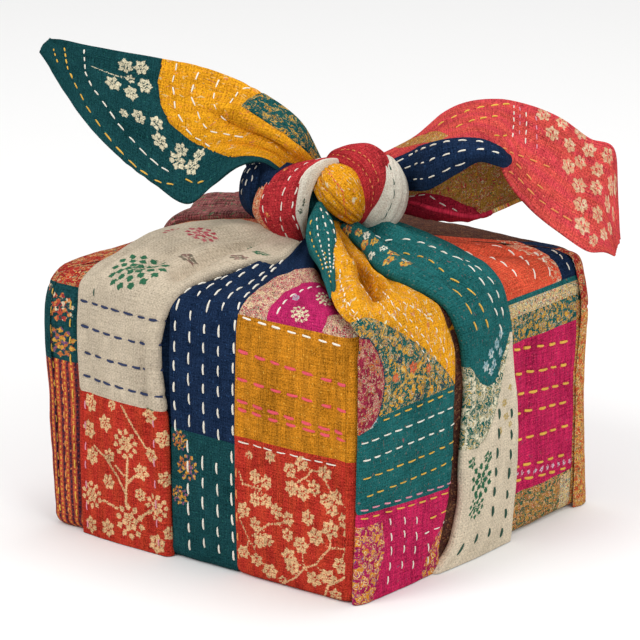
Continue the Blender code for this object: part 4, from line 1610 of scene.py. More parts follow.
    def base(self) -> LoftedSheet:
        """The cloth under the box, which closes the wrap."""
        half = self.base_half
        rows = tuple(((half, y, 0.3), (0.0, y, 0.3), (-half, y, 0.3)) for y in (-half, 0.0, half))
        return LoftedSheet(
            "base_cloth", patches=[whole(PLAIN_BASE)], inside=(0, 0, 40), held="stretched",
            rows=rows, step=4.0, softness=0.0,
        )


@dataclass
class Bands:
    """The folded bands that climb the faces and gather into the knot."""

    band_roll: float = 2.6
    strip_roll: float = 2.2

    def front_band(self) -> LoftedSheet:
        """The band up the front face, cream over red."""
        rows = (
            (
                (-61, -82.0, 0.3), (-49.6, -82.8, 0.3), (-38, -83.4, 0.3), (-26.5, -83.6, 0.3),
                (-16, -83.2, 0.3)
            ),
            (
                (-61.5, -82.2, 55), (-50.6, -83.0, 55), (-39, -83.6, 55), (-27.6, -83.8, 55),
                (-17.6, -83.4, 55)
            ),
            (
                (-62, -82.0, 100), (-51.4, -82.8, 100), (-40, -83.4, 100), (-28.6, -83.6, 100),
                (-19.1, -83.2, 100)
            ),
            (
                (-61.5, -80.8, 109), (-50.4, -81.8, 109.5), (-39, -82, 109.5), (-26.6, -82, 109),
                (-16, -81.6, 108.5)
            ),
            (
                (-59.5, -75.5, 115), (-48.4, -76.3, 116), (-37.6, -76.5, 116), (-24.4, -76.5, 115.8),
                (-13, -76.8, 114.6)
            ),
            ((-58.8, -61.9, 118), (-48, -62, 119.5), (-37, -62, 118.8), (-25, -61, 118), (-12.5, -64, 117.5)),
            (
                (-59, -48.3, 120.5), (-46.5, -49, 122), (-36, -48, 121.5), (-24, -49, 119.5),
                (-9.8, -52, 119.3)
            ),
            (
                (-57.6, -39.1, 122.5), (-44.1, -38.3, 124), (-32, -39, 123.5), (-21, -40.5, 121.5),
                (-4, -43, 121.3)
            ),
            (
                (-50.3, -31, 125), (-36, -31.5, 125.5), (-25, -34, 124.4), (-14, -35.4, 122.6),
                (3, -38.6, 122.4)
            ),
            ((-39.5, -24.3, 127.5), (-27, -27, 127.6), (-17, -29, 126), (-8, -31, 124), (7, -34, 123.4)),
            ((-26.7, -20.1, 129.5), (-18, -20, 129), (-10, -20, 127.5), (-3, -20, 126), (4, -20, 125)),
        )
        motifs = [
            *medallions(Ink.FIRST, 3, (23, 122, 12.6)),
            *medallions(Ink.THIRD, 2, (18.5, 161, 5.5), (8, 158.7, 4.0)),
            *medallions(Ink.SECOND, 1, (31.6, 143, 4.0), (43, 156, 3.0)),
            *medallions(Ink.FIRST, 1, (32, 174.6, 3.0), (42, 167, 3.0)),
            *medallions(Ink.FIRST, 2, (26.6, 44.6, 6.8), (27.6, 11.0, 8.0), (42, 20.4, 6.2), (5.4, 18, 6.4)),
            *medallions(
                Ink.FIRST, 1, (4.8, 46.4, 4.4), (6.6, 35.3, 4.2), (15.4, 51.3, 4.0), (40.4, 59.4, 4.0),
                (47, 33.3, 3.8), (34.6, 34, 4.0),
                (46.6, 50.4, 4.2), (15, 5.4, 4.2), (41.6, 4.4, 4.6), (6, 58, 4.4), (20, 60, 2.6),
                (16.4, 26, 3.8), (33.6, 24, 3.2),
                (40.4, 42.4, 3.6), (17.4, 37.6, 3.4), (4.4, 4.6, 4.0), (48, 10, 3.4),
            ),
            Stem(((25.7, 18), (26.6, 27), (27.6, 38)), 0.6), Stem(((26.6, 27), (31.4, 32)), 0.5),
            Stem(((25.7, 30.4), (21, 34)), 0.5),
            Stem(((25.7, 60.8), (32.3, 51.3), (36.1, 46.5), (38, 44)), 0.5),
            Stem(((8, 40), (15.2, 36), (21.9, 29.4), (25.7, 23)), 0.5),
            Stem(((12, 17), (20.9, 15.2)), 0.5), Stem(((32.3, 13.3), (37, 17)), 0.5),
        ]
        stitches = runs(
            Thread.NAVY, *(((0.6, v + 0.3), (24, v), (53, v - 0.5)) for v in (101, 90, 79, 68.6)), pitch=6.9,
            length=4.9, thick=1.4
        )
        stitches += runs(Thread.GREEN, ((9, 104), (9, 111)), pitch=7.6, length=4.2, thick=0.8)
        stitches += runs(
            Thread.ROSE, ((2, 3), (2, 60)), ((42.2, 2), (42.4, 60)), pitch=8.6, length=3.4, thick=0.7
        )
        return LoftedSheet(
            "front_band", rows=rows, inside=BODY_HEART, held="folded", step=0.7, rolls=(2.2, self.band_roll),
            u_at=(0, 12, 24, 35, 45),
            patches=[whole(LINEN), Patch(RED, span(-30, 80, -10, 62))],
            seams=[((-5, 62), (55, 62))], motifs=motifs, stitches=stitches,
            creases=[
                Crease(((40, 118), (38, 140), (34, 160), (28, 185)), -4.8, 3.0),
                Crease(((12, 120), (12, 150), (14, 185)), 1.6, 4.5),
                Crease(((25, 118), (25, 150), (22, 185)), -2.0, 2.8),
                Crease(((42, 4), (42.4, 60), (43, 100)), 1.0, 2.2),
                Crease(((38.6, 4), (39, 60), (39.4, 98)), -0.7, 1.6),
                Crease(((4, 30), (6, 80), (4, 104)), -0.5, 3.0),
                Crease(((3, 112), (6, 140), (10, 170)), -1.4, 2.4),
            ],
            seed=41,
        )

    def fan_flap(self) -> LoftedSheet:
        """The wide flap round the front corner, which fans out of the knot."""
        rows = (
            ((81.5, -78.6, 0.3), (82.8, -75.6, 0.3), (83.2, -70, 0.3), (83.2, -42, 0.3), (82.4, -8, 0.3)),
            ((82.9, -78, 55), (83.3, -75.1, 55), (83.4, -70, 55), (83.4, -42, 55), (82.6, -8, 55)),
            ((82.8, -78, 100), (83.2, -75.1, 100), (83.2, -70, 100), (83.2, -42, 101), (82.6, -9, 101)),
            ((81.5, -77, 112.5), (82, -74.2, 113), (81.5, -69, 113.5), (80.5, -43, 114.5), (80, -10, 114)),
            (
                (79, -77.8, 115.8), (79.8, -74.2, 116.5), (79, -68, 116.8), (78.5, -43, 117.2),
                (78.5, -10, 116)
            ),
            ((69, -73.5, 119), (70.5, -69.5, 119.5), (71, -62.5, 119), (70, -40, 118.5), (71, -11, 118.5)),
            ((55.5, -62, 121), (58.5, -58, 121.5), (60, -51.5, 120.5), (60, -33, 118.5), (60, -12, 120.5)),
            (
                (42.5, -48.5, 122.8), (45.5, -45, 123.3), (47.5, -39.5, 121.8), (46.5, -25.5, 119.5),
                (46, -6, 122)
            ),
            ((33, -39, 124.5), (35.5, -35.5, 125), (37, -30, 123.3), (36, -17.5, 121), (35, -1.5, 123)),
            ((23, -28, 126.8), (25, -25.5, 127.3), (26, -21, 125.5), (25.5, -12, 123), (25, 0, 125)),
            ((13, -17.5, 130.3), (15, -15.5, 130.8), (16, -12.5, 129), (16, -6, 127), (15.5, 2, 127.5)),
            ((5, -10, 133.5), (8, -8, 133.5), (10, -5, 132), (11, -1, 131), (11, 4, 129)),
        )
        yellow = (
            (-20, 121), (0, 121), (9, 119), (16, 115), (26.7, 107.6), (42.8, 96.9), (58, 83), (63.5, 77.4),
            (90, 55), (90, 300),
            (-20, 300),
        )
        half_round = (
            (-20, 113), (0, 112.5), (8.2, 109), (13.8, 102.5), (16.4, 96), (16.9, 89.5), (15.2, 82),
            (12.6, 76.5), (8.4, 72.8),
            (1.5, 70.9), (-20, 70.5),
        )
        motifs = [
            *branch(
                ((22, 84), (32, 88), (44, 84)), ((26, 80), (34, 82.4), (38, 91), (28, 92), (46, 79)),
                Ink.FIRST, 4.4
            ),
            *branch(((24, 98), (34, 96), (42, 90)), ((28, 102), (30, 94), (37, 99)), Ink.FOURTH, 4.0),
            *branch(((16, 108), (24, 105)), ((20, 112), (27, 101)), Ink.FIRST, 3.6),
            *flowers(Ink.THIRD, 6, (34, 91, 2.8), (23, 90, 2.2), (44, 88, 2.2)),
            *flowers(Ink.FOURTH, 6, (50, 83, 2.4), (30, 86, 2.0), (41, 80, 2.2)),
            *flowers(Ink.SECOND, 6, (26, 96, 2.0), (54, 79, 2.0), (37, 78, 2.0)),
            Stem(half_round[1:9], 0.45, Ink.SECOND),
        ]
        stitches = [
            *runs(Thread.YELLOW, ((16, 74.3), (66, 74.3)), ((2, 52.4), (67, 52.4)), ((2, 45), (67, 45))),
            *runs(Thread.WHITE, ((2, 67.4), (67, 67.4)), ((2, 60), (67, 60))),
            *runs(Thread.ROSE, ((2, 39.8), (66, 35.4))),
            *runs(Thread.YELLOW, ((2, 36.2), (66, 31.6)), ((46, 24.4), (62, 24.4)), pitch=7.6),
            *runs(Thread.WHITE, ((44, 18.8), (62, 18.8)), pitch=6.4, length=3.6, thick=0.7),
            *runs(
                Thread.WHITE, ((20.5, 32), (21.5, 18), (18.5, 3)), ((29.5, 32), (30.3, 18), (27, 3)),
                ((38, 31), (38.5, 18), (35, 3)),
                ((47, 15), (46, 3)), pitch=6.2, length=3.6, thick=0.75,
            ),
            *runs(
                Thread.WHITE, ((5, 119), (5, 131), (5, 151), (6, 166)),
                ((46, 89), (38, 101), (30, 108), (22, 118), (22, 140), (11, 151)),
                ((52, 87), (45, 99), (37, 108), (28, 119), (31, 138)), ((58, 86), (51, 105), (34, 120)),
                pitch=4.6, length=2.4, thick=0.6,
            ),
        ]
        return LoftedSheet(
            "fan_flap", rows=rows, inside=BODY_HEART, held="folded", step=0.75, rolls=(1.2, 0.0), sweep=120,
            u_at=(2.4, 5.4, 10.6, 38.6, 72.6),
            patches=[
                whole(TEAL_FLECKED), Patch(GOLD_FLORAL, span(-30, 90, 76.2, 300)),
                Patch(HALF_ROUND, half_round),
                Patch(MAGENTA, ((-20, 38), (0, 38), (66, 33.5), (90, 33), (90, -10), (-20, -10))),
                Patch(MAGENTA_GOLD, ((-20, 33), (15, 32.4), (17, 20), (8, -5), (-20, -5))),
                Patch(MAGENTA_GOLD, ((38, -5), (45, 8), (52, 16), (66, 22), (90, 24), (90, -5))),
                Patch(YELLOW, yellow),
                # Painted shade: dark brown cloth right of the trough at the folded strip's left edge, where
                # the gap lies in shadow.
                Patch(
                    BROWN_FLORAL_AND_PAINTED_SHADE,
                    ((53, -5), (58, 8), (64, 26), (67, 48), (67.4, 88), (66, 98), (90, 104), (90, -5))
                ),
            ],
            seams=[yellow[1:8], ((0, 38), (66, 33.5)), half_round[1:10], ((17, 76.2), (64, 76.2))],
            motifs=motifs, stitches=stitches,
            creases=[
                Crease(((8, 118), (9, 150), (10, 176)), 3.0, 4.0),
                Crease(((24, 128), (25, 150), (25, 180)), -7.0, 4.6),
                Crease(((30, 116), (36, 136), (38, 180)), 3.6, 5.0),
                Crease(((59, 110), (59, 150), (56, 200)), -3.4, 4.6),
                Crease(((25, 150), (27, 180), (28, 206)), -5.0, 8.0, 6.0),
                Crease(((73, 108), (73, 160), (72, 206)), -4.0, 8.0),
                Crease(((10, 160), (11, 206)), 2.6, 6.0, 8.0),
                Crease(((17, 120), (18, 150), (17, 176)), -1.4, 2.2),
                Crease(((46, 120), (47, 170)), -1.2, 2.4),
                Crease(
                    ((55, 0), (60, 10), (65.5, 28), (68.4, 48), (69, 90), (65, 104), (60, 120), (60, 160)),
                    -3.6, 3.8
                ),
                Crease(((30, 108), (44, 96), (60, 86)), -0.5, 3.0),
            ],
            seed=43,
        )

    def folded_strip(self) -> LoftedSheet:
        """The strip that is folded back over the flap, teal over cream."""
        rows = (
            ((85.0, -29, 0.3), (85.8, -3, 0.3), (84.6, 20, 0.3)),
            ((85.2, -19.6, 7), (85.9, 1.6, 7), (84.7, 21.4, 7)),
            ((85.4, -13.6, 20), (86.1, 4.8, 20), (84.8, 23.4, 20)),
            ((85.4, -11.2, 42), (86.2, 7, 42), (85.0, 24.5, 42)),
            ((85.2, -9.0, 62), (86.1, 7.2, 62), (84.9, 23.2, 62)),
            ((85.2, -9.2, 82), (86.0, 6.0, 82), (84.8, 20, 82)),
            ((84.6, -13, 100), (85.4, 3.0, 101), (84.4, 18, 101)),
            ((80.8, -19.4, 113.5), (81.5, 0, 114.5), (81, 16, 113.5)),
            ((72, -23.8, 119.5), (73, -3, 120), (73, 17, 119)),
            ((59, -23.8, 121.8), (61, 0, 123.5), (61, 19, 121.5)),
            ((43, -18, 124), (44, 6, 125.5), (44, 23, 123.5)),
            ((27, -6, 126.5), (27.5, 8, 128.5), (26, 22, 127)),
            ((14, -2, 130.5), (13, 8, 131.5), (11, 20, 129)),
        )
        seam = ((-15, 85), (-10, 80), (-5, 75.6), (0, 73.6), (5, 74.4), (11, 79), (17, 86.4), (21, 93))
        low_seam = ((-15, 50), (-8, 49), (-2, 52.6), (4, 60), (10.4, 69.4), (17, 81), (21, 89))
        cream = ((-40, 86), *seam, (40, 96), (40, -10), (-40, -10))
        leafy = ((-40, 86), *seam, *low_seam[::-1], (-40, 50))
        motifs = [
            *medallions(Ink.FIRST, 2, (-5.4, 35, 7.6), (-7.6, 24.4, 5.6)),
            *medallions(Ink.FIRST, 1, (-1, 44, 3.0), (-12, 44, 3.0)),
            *flowers(
                Ink.SECOND, 6, (7.7, 90.8, 2.9), (1.8, 88, 2.7), (-2.6, 83, 2.8), (11.6, 86.4, 2.6),
                (4.4, 83, 2.4),
                (12.6, 94, 2.6), (1.6, 80, 2.2),
            ),
            *flowers(
                Ink.FOURTH, 6, (12.8, 63.7, 2.2), (13.6, 57.6, 2.0), (8.4, 52.6, 2.0), (16.4, 53.5, 1.8),
                (17.8, 69.6, 1.8)
            ),
            *medallions(
                Ink.FIRST, 1, (-17, 186, 3.0), (-14, 180, 2.6), (-16, 172, 3.0), (-11.5, 168, 2.6),
                (-9, 154, 3.0), (-13.4, 150, 2.8),
                (-6.5, 147, 2.6), (-11, 141.6, 2.6),
            ),
            *medallions(
                Ink.FOURTH, 1, (-12.4, 175, 2.6), (-16, 162, 2.4), (-10.4, 160, 2.2), (-8.4, 144.6, 2.2)
            ),
        ]
        stitches = [
            *runs(
                Thread.GREEN, ((7.7, 62), (6.9, 50), (5.2, 40.7), (5.2, 22), (6, 13.6), (4.8, 3)), pitch=8.4,
                length=4.6, thick=1.3
            ),
            *runs(
                Thread.GREEN, ((17.8, 60), (17, 39), (16.1, 29.7), (17, 12), (14.4, 3)),
                ((-2.4, 14), (-3.4, 3)), ((-9, 13), (-12, 3)), pitch=8.8, length=4.6, thick=1.3
            ),
            *runs(
                Thread.WHITE,
                (
                    (-9.1, 173), (1.8, 168), (3.5, 162), (5.2, 155), (6.9, 138), (10, 129), (7.7, 114),
                    (9.4, 107), (14.4, 92.5)
                ),
                ((14.5, 160), (15, 140), (15.6, 120), (16.4, 98)), pitch=7.6,
            ),
            *runs(
                Thread.YELLOW, ((-1.5, 158), (1, 143), (0, 125), (-0.7, 112), (1.8, 97)),
                ((-8, 122), (-7, 96)), pitch=8.0
            ),
        ]
        return LoftedSheet(
            "folded_strip", rows=rows, inside=BODY_HEART, held="folded", step=0.7,
            rolls=(self.strip_roll, 1.6), u_at=(-15, 4, 22),
            patches=[
                whole(TEAL_FLECKED), Patch(STRIP_LINEN, cream), Patch(LEAFY_LINEN, leafy),
            ],
            seams=[seam, low_seam], motifs=motifs, stitches=stitches,
            creases=[
                Crease(((-3, 112), (-3, 150), (0, 205)), -3.0, 3.6),
                Crease(((-11, 116), (-11, 150), (-8, 205)), 2.0, 4.0),
                Crease(((9, 118), (9, 150), (9, 205)), 2.2, 5.0),
                Crease(((-12, 4), (-12.5, 50), (-13, 96)), 0.9, 2.2),
                Crease(((14, 5), (12, 50), (14, 100)), -0.6, 3.0),
                Crease(((14, 130), (13, 160), (12, 205)), -3.4, 2.8),
            ],
            seed=47,
        )

    def back_strand(self) -> LoftedSheet:
        """The strand that comes over the left face from behind."""
        rows = (
            ((-84.0, 44, 0.3), (-85.0, 18, 0.3), (-84.0, -8, 0.3)),
            ((-84.6, 44, 55), (-85.6, 18, 55), (-84.6, -8, 55)),
            ((-84.2, 43, 103), (-85.2, 18, 104), (-84.2, -7, 103)),
            ((-77, 42, 119), (-78, 20, 121), (-77, -3, 118)),
            ((-60, 36, 124), (-60, 21, 125), (-60, 3, 122)),
            ((-42, 27, 128), (-42, 17, 128), (-42, 5, 125)),
            ((-24, 16, 132), (-24, 10, 131), (-24, 4, 128)),
        )
        return LoftedSheet(
            "back_strand", rows=rows, inside=BODY_HEART, held="folded", step=1.4, rolls=(2.0, 2.4),
            patches=[whole(DUSTY)],
            creases=[
                Crease(((14, 100), (14, 150), (16, 200)), -1.8, 3.0),
                Crease(((30, 100), (30, 150), (26, 200)), 1.8, 4.0),
                Crease(((42, 100), (40, 150), (34, 200)), -1.6, 3.0),
            ],
            seed=53,
        )

    def corner_lap(self) -> LoftedSheet:
        """The folded corner of the wrap, lapped along the far edge of the side face."""
        rows = (
            ((80.6, 71.5, 0.3), (81.6, 77.0, 0.3), (80.2, 81.2, 0.3)),
            ((80.8, 71.8, 55), (81.6, 76, 55), (79.8, 79.2, 55)),
            ((80.6, 71.6, 102), (81.4, 75, 102), (79.4, 78.0, 102)),
            ((78.0, 70.4, 110.6), (78.6, 73.6, 110.8), (77.0, 76.6, 110)),
            ((71.5, 67.5, 113.2), (71.5, 70.6, 113.3), (70.6, 73.4, 112.4)),
        )
        return LoftedSheet(
            "corner_lap", rows=rows, inside=BODY_HEART, held="folded", step=0.85, rolls=(0.0, 1.2),
            patches=[whole(BEADED), Patch(RED_PAISLEY, span(-20, 60, 88, 300))],
            seams=[((-3, 88), (15, 88))], seed=59,
        )

    def front_strand(self) -> LoftedSheet:
        """The narrow gathered edge of the flap, hanging from the front of the knot."""
        line = (
            (-0.5, 17, 140.5), (-0.2, 20.5, 137), (0.2, 24, 133), (0.4, 28, 129), (0.8, 34, 127),
            (1.4, 42, 125.6),
            (2.4, 52, 125.0), (3.0, 60, 124.2), (3.6, 68, 123.2), (4.4, 76, 121.6), (5.0, 84, 119.0),
        )
        widths = (1.0, 3.4, 5.4, 6.2, 6.0, 5.0, 4.0, 3.2, 2.6, 1.8, 0.8)
        rows = []
        for i, ((along, front, up), width) in enumerate(zip(line, widths)):
            before, after = line[max(i - 1, 0)], line[min(i + 1, len(line) - 1)]
            run, fall = after[1] - before[1], after[2] - before[2]
            size = math.hypot(run, fall)
            out = (-fall / size, run / size)
            row = []
            for angle in (-115, -75, -38, 0, 38, 75, 115):
                side = math.sin(math.radians(angle)) * width
                over = math.cos(math.radians(angle)) * width * 0.85
                row.append((along + side, front + out[0] * over, up + out[1] * over))
            rows.append(tuple(row))
        return LoftedSheet(
            "front_strand", rows=tuple(rows), in_knot=True, inside=(10, -20, 118), held="gathered", step=0.7,
            patches=[whole(TEAL_FLECKED)],
            stitches=[
                *runs(
                    Thread.WHITE, ((12, 4), (14, 22), (13, 56)), ((15.5, 4), (18.4, 22), (16, 50)),
                    ((9, 6), (9.6, 24), (9, 50)), pitch=4.2,
                    length=2.0, thick=0.75,
                ),
                *runs(
                    Thread.YELLOW, ((6, 10), (5.6, 26), (6, 50)), ((11, 30), (11, 62)), pitch=4.6, length=2.0,
                    thick=0.7
                ),
            ],
            creases=[
                Crease(((10, 6), (11, 40), (11, 80)), -0.9, 1.6), Crease(((5.5, 6), (6.5, 50)), -0.6, 1.4)
            ],
            seed=61,
        )


@dataclass
class Knot:
    """The wraps of the knot, over a dark core whose dark teal is painted shade where it shows between them.
    """

    pleat: float = 0.55
    hem_roll: float = 1.5

    def wrap(self, name: str, rows: tuple, **settings: object) -> LoftedSheet:
        """One gathered turn of the knot, with the settings that all of them share."""
        shared = {"in_knot": True, "inside": KNOT_HEART, "held": "gathered", "step": 0.6, "softness": 0.6}
        return LoftedSheet(name, rows=rows, **(shared | settings))

    def pleats(self, low: float, high: float, step: float, length: float, lean: float = 0.0) -> list[Crease]:
        """Fine pleats that run along a wrap.

        Args:
            low: The first pleat's place across.
            high: The last one's.
            step: The distance between them.
            length: How long they are.
            lean: How far each drifts across on its way.

        Returns:
            Troughs and the ridges between them.
        """
        made = []
        for i, u in enumerate(np.arange(low, high, step)):
            line = ((u, 2.0), (u + lean * 0.4, length / 2), (u + lean, length - 2))
            made.append(Crease(line, -self.pleat * (1 if i % 2 else 0.6), 0.8, 8.0))
            ridge = tuple((place + step / 2, run) for place, run in line)
            made.append(Crease(ridge, self.pleat * 0.6, 1.0, 8.0))
        return made

    def left_wrap(self) -> LoftedSheet:
        """The wide coral wrap at the knot's left, with a cream hem."""
        rows = (
            (
                (10.8, -6, 148.6), (10.3, -7, 150.1), (8.3, -8, 151.1), (5.8, -9, 150.8), (3.3, -11, 149.3),
                (2.5, -15, 146.8)
            ),
            (
                (8.7, 7, 155.5), (7.5, 7, 156.8), (5, 5, 156.7), (2.1, 1, 155), (-0.8, -5, 152.6),
                (-0.8, -13, 148.7)
            ),
            (
                (2.9, 12, 154.2), (0, 14, 157.4), (-5, 13, 156.4), (-9.9, 7, 154.4), (-14.9, -3, 150.6),
                (-14.1, -14, 145.4)
            ),
            (
                (-1.7, 15, 150.6), (-5, 18, 153.2), (-10.8, 19, 153), (-17.4, 13, 150.8), (-23.4, 0, 146.1),
                (-22.4, -13, 140.5)
            ),
            (
                (-4.6, 16, 142.6), (-7.5, 20, 144.3), (-13.7, 23, 144.3), (-21.5, 17, 142.1),
                (-28.4, 2, 136.8), (-26.5, -13, 131.9)
            ),
            (
                (-5.4, 16, 135.3), (-8.3, 20, 136.9), (-13.7, 23, 136.9), (-20.7, 17, 134.7),
                (-27.5, 4, 131.7), (-25.7, -11, 128.6)
            ),
            (
                (-5.4, 14, 127.8), (-7, 18, 130.3), (-10.8, 20, 130), (-16.1, 15, 127.2), (-21.9, 5, 124.7),
                (-21.1, -8, 123)
            ),
            (
                (-4.6, 11, 121.3), (-5.4, 13, 121.9), (-7, 14, 121.7), (-9.9, 12, 120.5), (-12.8, 7, 119.7),
                (-14.1, -4, 119.4)
            ),
            (
                (-2.9, 5, 118.6), (-3.7, 6, 118.5), (-5, 6, 118.1), (-7, 4, 117), (-9.1, 0, 116.3),
                (-10.8, -6, 116.7)
            ),
        )
        return self.wrap(
            "knot_left_wrap", rows, rolls=(self.hem_roll, 0.0),
            patches=[
                whole(CORAL), Patch(HEM_LINEN, span(-20, 7.4, -10, 200)),
                Patch(CORAL_FLORAL, ((29.5, 28), (28, 44), (31, 64), (80, 66), (80, 26))),
            ],
            seams=[((7.4, 4), (7.4, 72))],
            motifs=[
                *flowers(Ink.FIRST, 5, (5, 52, 1.6)), Leaf((3.6, 46), 4.5, 0.8, 0.24),
                *flowers(Ink.SECOND, 6, (23, 30, 1.6), (24, 52, 1.6))
            ],
            stitches=[
                *runs(
                    Thread.WHITE, ((5.4, 26), (7.8, 39.5), (9.6, 50), (9.0, 56), (9.6, 66.5)), pitch=5.6,
                    length=3.4, thick=0.75
                ),
                *runs(
                    Thread.WHITE, ((14.5, 16), (13.9, 37), (15.1, 52), (19.3, 61), (21.1, 66)), pitch=6.0,
                    length=3.6, thick=0.8
                ),
                *runs(
                    Thread.WHITE, ((27.7, 26), (27.1, 42), (25.9, 50), (28, 58)), pitch=5.6, length=3.0,
                    thick=0.65
                ),
            ],
            creases=self.pleats(8, 34, 2.7, 66, 1.0), seed=71,
        )

    def right_wrap(self) -> LoftedSheet:
        """The coral wrap that comes over the top of the knot to its right."""
        rows = (
            ((0.8, -6, 151.2), (1.7, -8, 152.4), (2.9, -10, 153.1), (4.6, -13, 152.6)),
            ((3.7, 3, 156.5), (4.6, 2, 157.7), (5.8, -3, 157.7), (7.5, -11, 154.9)),
            ((8.3, 9, 156.5), (10.8, 9, 160), (13.2, 1, 161.3), (14.9, -10, 157.4)),
            ((12, 13, 153.8), (15.7, 15, 159.2), (20.7, 3, 161.9), (23.2, -9, 157.2)),
            ((15.3, 16, 149.6), (19.9, 18, 154.9), (27.3, 6, 157.4), (29.4, -5, 152)),
            ((17.4, 17, 143.8), (21.9, 19, 148.3), (28.2, 9, 150.5), (30.6, -3, 146.1)),
            ((18.4, 16, 137.9), (21.1, 17, 140.8), (25.7, 12, 142.7), (28.2, 2, 138.1)),
            ((17.8, 12, 131.9), (19, 12, 133.2), (21.1, 10, 134.8), (23.2, 3, 131)),
            ((15.7, 6, 128), (16.6, 5, 127.7), (17.8, 3, 127.5), (19, -2, 125.6)),
        )
        return self.wrap(
            "knot_right_wrap", rows, rolls=(self.hem_roll, self.hem_roll),
            patches=[whole(CORAL)],
            creases=self.pleats(2, 22, 2.4, 58, 0.6), seed=73,
            stitches=runs(
                Thread.ORANGE, ((3.6, 10), (3.6, 24.5), (6, 39.5), (8.4, 54)),
                ((10.8, 12), (10.2, 34.7), (11.3, 43.7)), pitch=3.4,
                length=1.8, thick=0.45,
            ),
        )

    def outer_wrap(self) -> LoftedSheet:
        """The cream wrap at the knot's right end."""
        rows = (
            ((24, -6, 153), (25.7, -9, 152.9), (27.3, -14, 151), (28.2, -20, 147.5)),
            ((26.1, 3, 157.4), (28.2, -1, 155.7), (30.2, -8, 151.9), (30.6, -18, 146.4)),
            ((25.7, 9, 155.3), (29.4, 6, 154.4), (33.1, -3, 150.8), (33.1, -16, 144.8)),
            ((24.8, 13, 150), (30.2, 10, 149.1), (35.8, -2, 145.5), (35.2, -15, 140.3)),
            ((23.6, 14, 144.2), (29.8, 11, 142.5), (36.6, -2, 139), (35.6, -15, 134.7)),
            ((21.9, 13, 138.3), (27.7, 11, 136.4), (35.2, -1, 132.8), (33.9, -13, 130.1)),
            ((19.5, 12, 133.7), (24.4, 10, 130.9), (30.2, 2, 126.6), (29.8, -9, 125.3)),
            ((17, 9, 130.2), (19.9, 8, 127.7), (23.6, 4, 124.8), (24, -5, 123.9)),
            ((14.5, 4, 127.4), (16.1, 4, 125.7), (18.2, 1, 123.1), (19.5, -5, 122.6)),
        )
        return self.wrap(
            "knot_outer_wrap", rows, rolls=(0.8, 0.0),
            patches=[whole(HEM_LINEN)], creases=self.pleats(4, 16, 5.5, 46), seed=79,
            stitches=runs(
                Thread.GREEN, ((4.6, 12), (7.8, 23), (8.4, 28), (8.4, 40)), pitch=5.6, length=3.6, thick=0.7
            ),
        )

    def centre_pad(self) -> LoftedSheet:
        """The mustard fold that shows through the front of the knot."""
        rows = (
            ((0.4, 1, 149.9), (2.1, 2, 152.3), (4.1, 1, 153.7)),
            ((-1.2, 11, 150.2), (1.2, 13, 153.8), (4.6, 10, 155.5)),
            ((-2.7, 14, 146.8), (2.5, 19, 151.7), (8.7, 13, 155.6)),
            ((0.4, 16, 140.9), (6.6, 22, 147.4), (13.7, 16, 153)),
            ((5.8, 16, 135.7), (10.8, 22, 142.3), (17.4, 17, 146.4)),
            ((11.6, 14, 131.5), (14.9, 19, 137.1), (18.8, 16, 139.6)),
            ((14.9, 9, 129.1), (17, 12, 132.4), (18.6, 11, 134.2)),
            ((16.6, 2, 126.8), (17.8, 4, 129.1), (19, 3, 130.1)),
        )
        return self.wrap(
            "knot_centre_fold", rows, step=0.5, rolls=(1.6, 1.6), sweep=110,
            patches=[whole(YELLOW)],
            motifs=[
                Stem(((14.6, 14), (13.1, 21), (12.6, 26.5), (10.1, 30), (3, 36)), 0.3, Ink.SECOND),
                Stem(((7, 6), (6, 20), (8, 30)), 0.25, Ink.FOURTH)
            ],
            creases=self.pleats(2, 20, 4.6, 48), seed=83,
        )

    def loop(self) -> LoftedSheet:
        """The navy loop behind the knot's left end."""
        rows = (
            ((-24, -8, 153.2), (-20.7, -14, 150.6), (-18.2, -20, 146.2)),
            ((-28.2, -4, 152.3), (-24, -6, 152.1), (-19, -16, 148.7)),
            ((-31.9, -4, 149.2), (-27.3, 2, 152.3), (-21.5, -4, 151)),
            ((-33.5, -4, 143.6), (-29, 5, 146.7), (-23.2, 2, 146.3)),
            ((-33.7, -4, 137.6), (-29.4, 6, 140.5), (-24, 3, 139.6)),
            ((-31.9, -4, 132.4), (-28.2, 4, 133.9), (-23.6, 2, 132.9)),
            ((-28.6, -6, 128.3), (-26.1, 0, 128.8), (-22.4, 0, 128)),
            ((-25.7, -10, 125.4), (-24, -6, 125.3), (-21.5, -5, 124.3)),
        )
        return self.wrap(
            "knot_loop", rows, rolls=(2.4, 0.0),
            patches=[whole(NAVY)], creases=self.pleats(2, 14, 3.6, 34), seed=89,
            stitches=[
                Running(Thread.WHITE, ((3, 6), (3, 32)), 4.6, 2.4, 0.7),
                Running(Thread.WHITE, ((8, 4), (8, 30)), 5.4, 2.6, 0.7, start=3),
                Running(Thread.WHITE, ((12, 4), (12, 26)), 5.2, 2.4, 0.7),
            ],
        )

    def core(
        self, name: str, finish: Cotton, middle: Point, halves: Point, swing: float = 0.0
    ) -> LoftedSheet:
        """A bundled part of the cloth inside the knot.

        Args:
            name: The piece's name.
            finish: Its cotton.
            middle: Its middle, along, in front of and up the knot, in mm.
            halves: Its half sizes.
            swing: Its turn about the upright, in degrees.

        Returns:
            A closed roll of cloth.
        """
        rows = []
        turn = math.radians(swing)
        for run in np.linspace(-0.995, 0.995, 13):
            girth = (1 - abs(run) ** 3) ** (1 / 3)
            row = []
            for angle in np.linspace(0, 2 * math.pi, 17):
                pleat = 1 + 0.05 * math.cos(6 * angle + 4 * run)
                along = run * halves[0]
                front = math.cos(angle) * halves[1] * girth * pleat
                row.append((
                    middle[0] + along * math.cos(turn) + front * math.sin(turn),
                    middle[1] - along * math.sin(turn) + front * math.cos(turn),
                    middle[2] + math.sin(angle) * halves[2] * girth * pleat,
                ))
            rows.append(tuple(row))
        return LoftedSheet(
            name, rows=tuple(rows), in_knot=True, inside=tuple(knot_to_box(np.array(middle))),
            held="gathered", step=1.3,
            patches=[whole(finish)], softness=0.6, seed=97,
        )

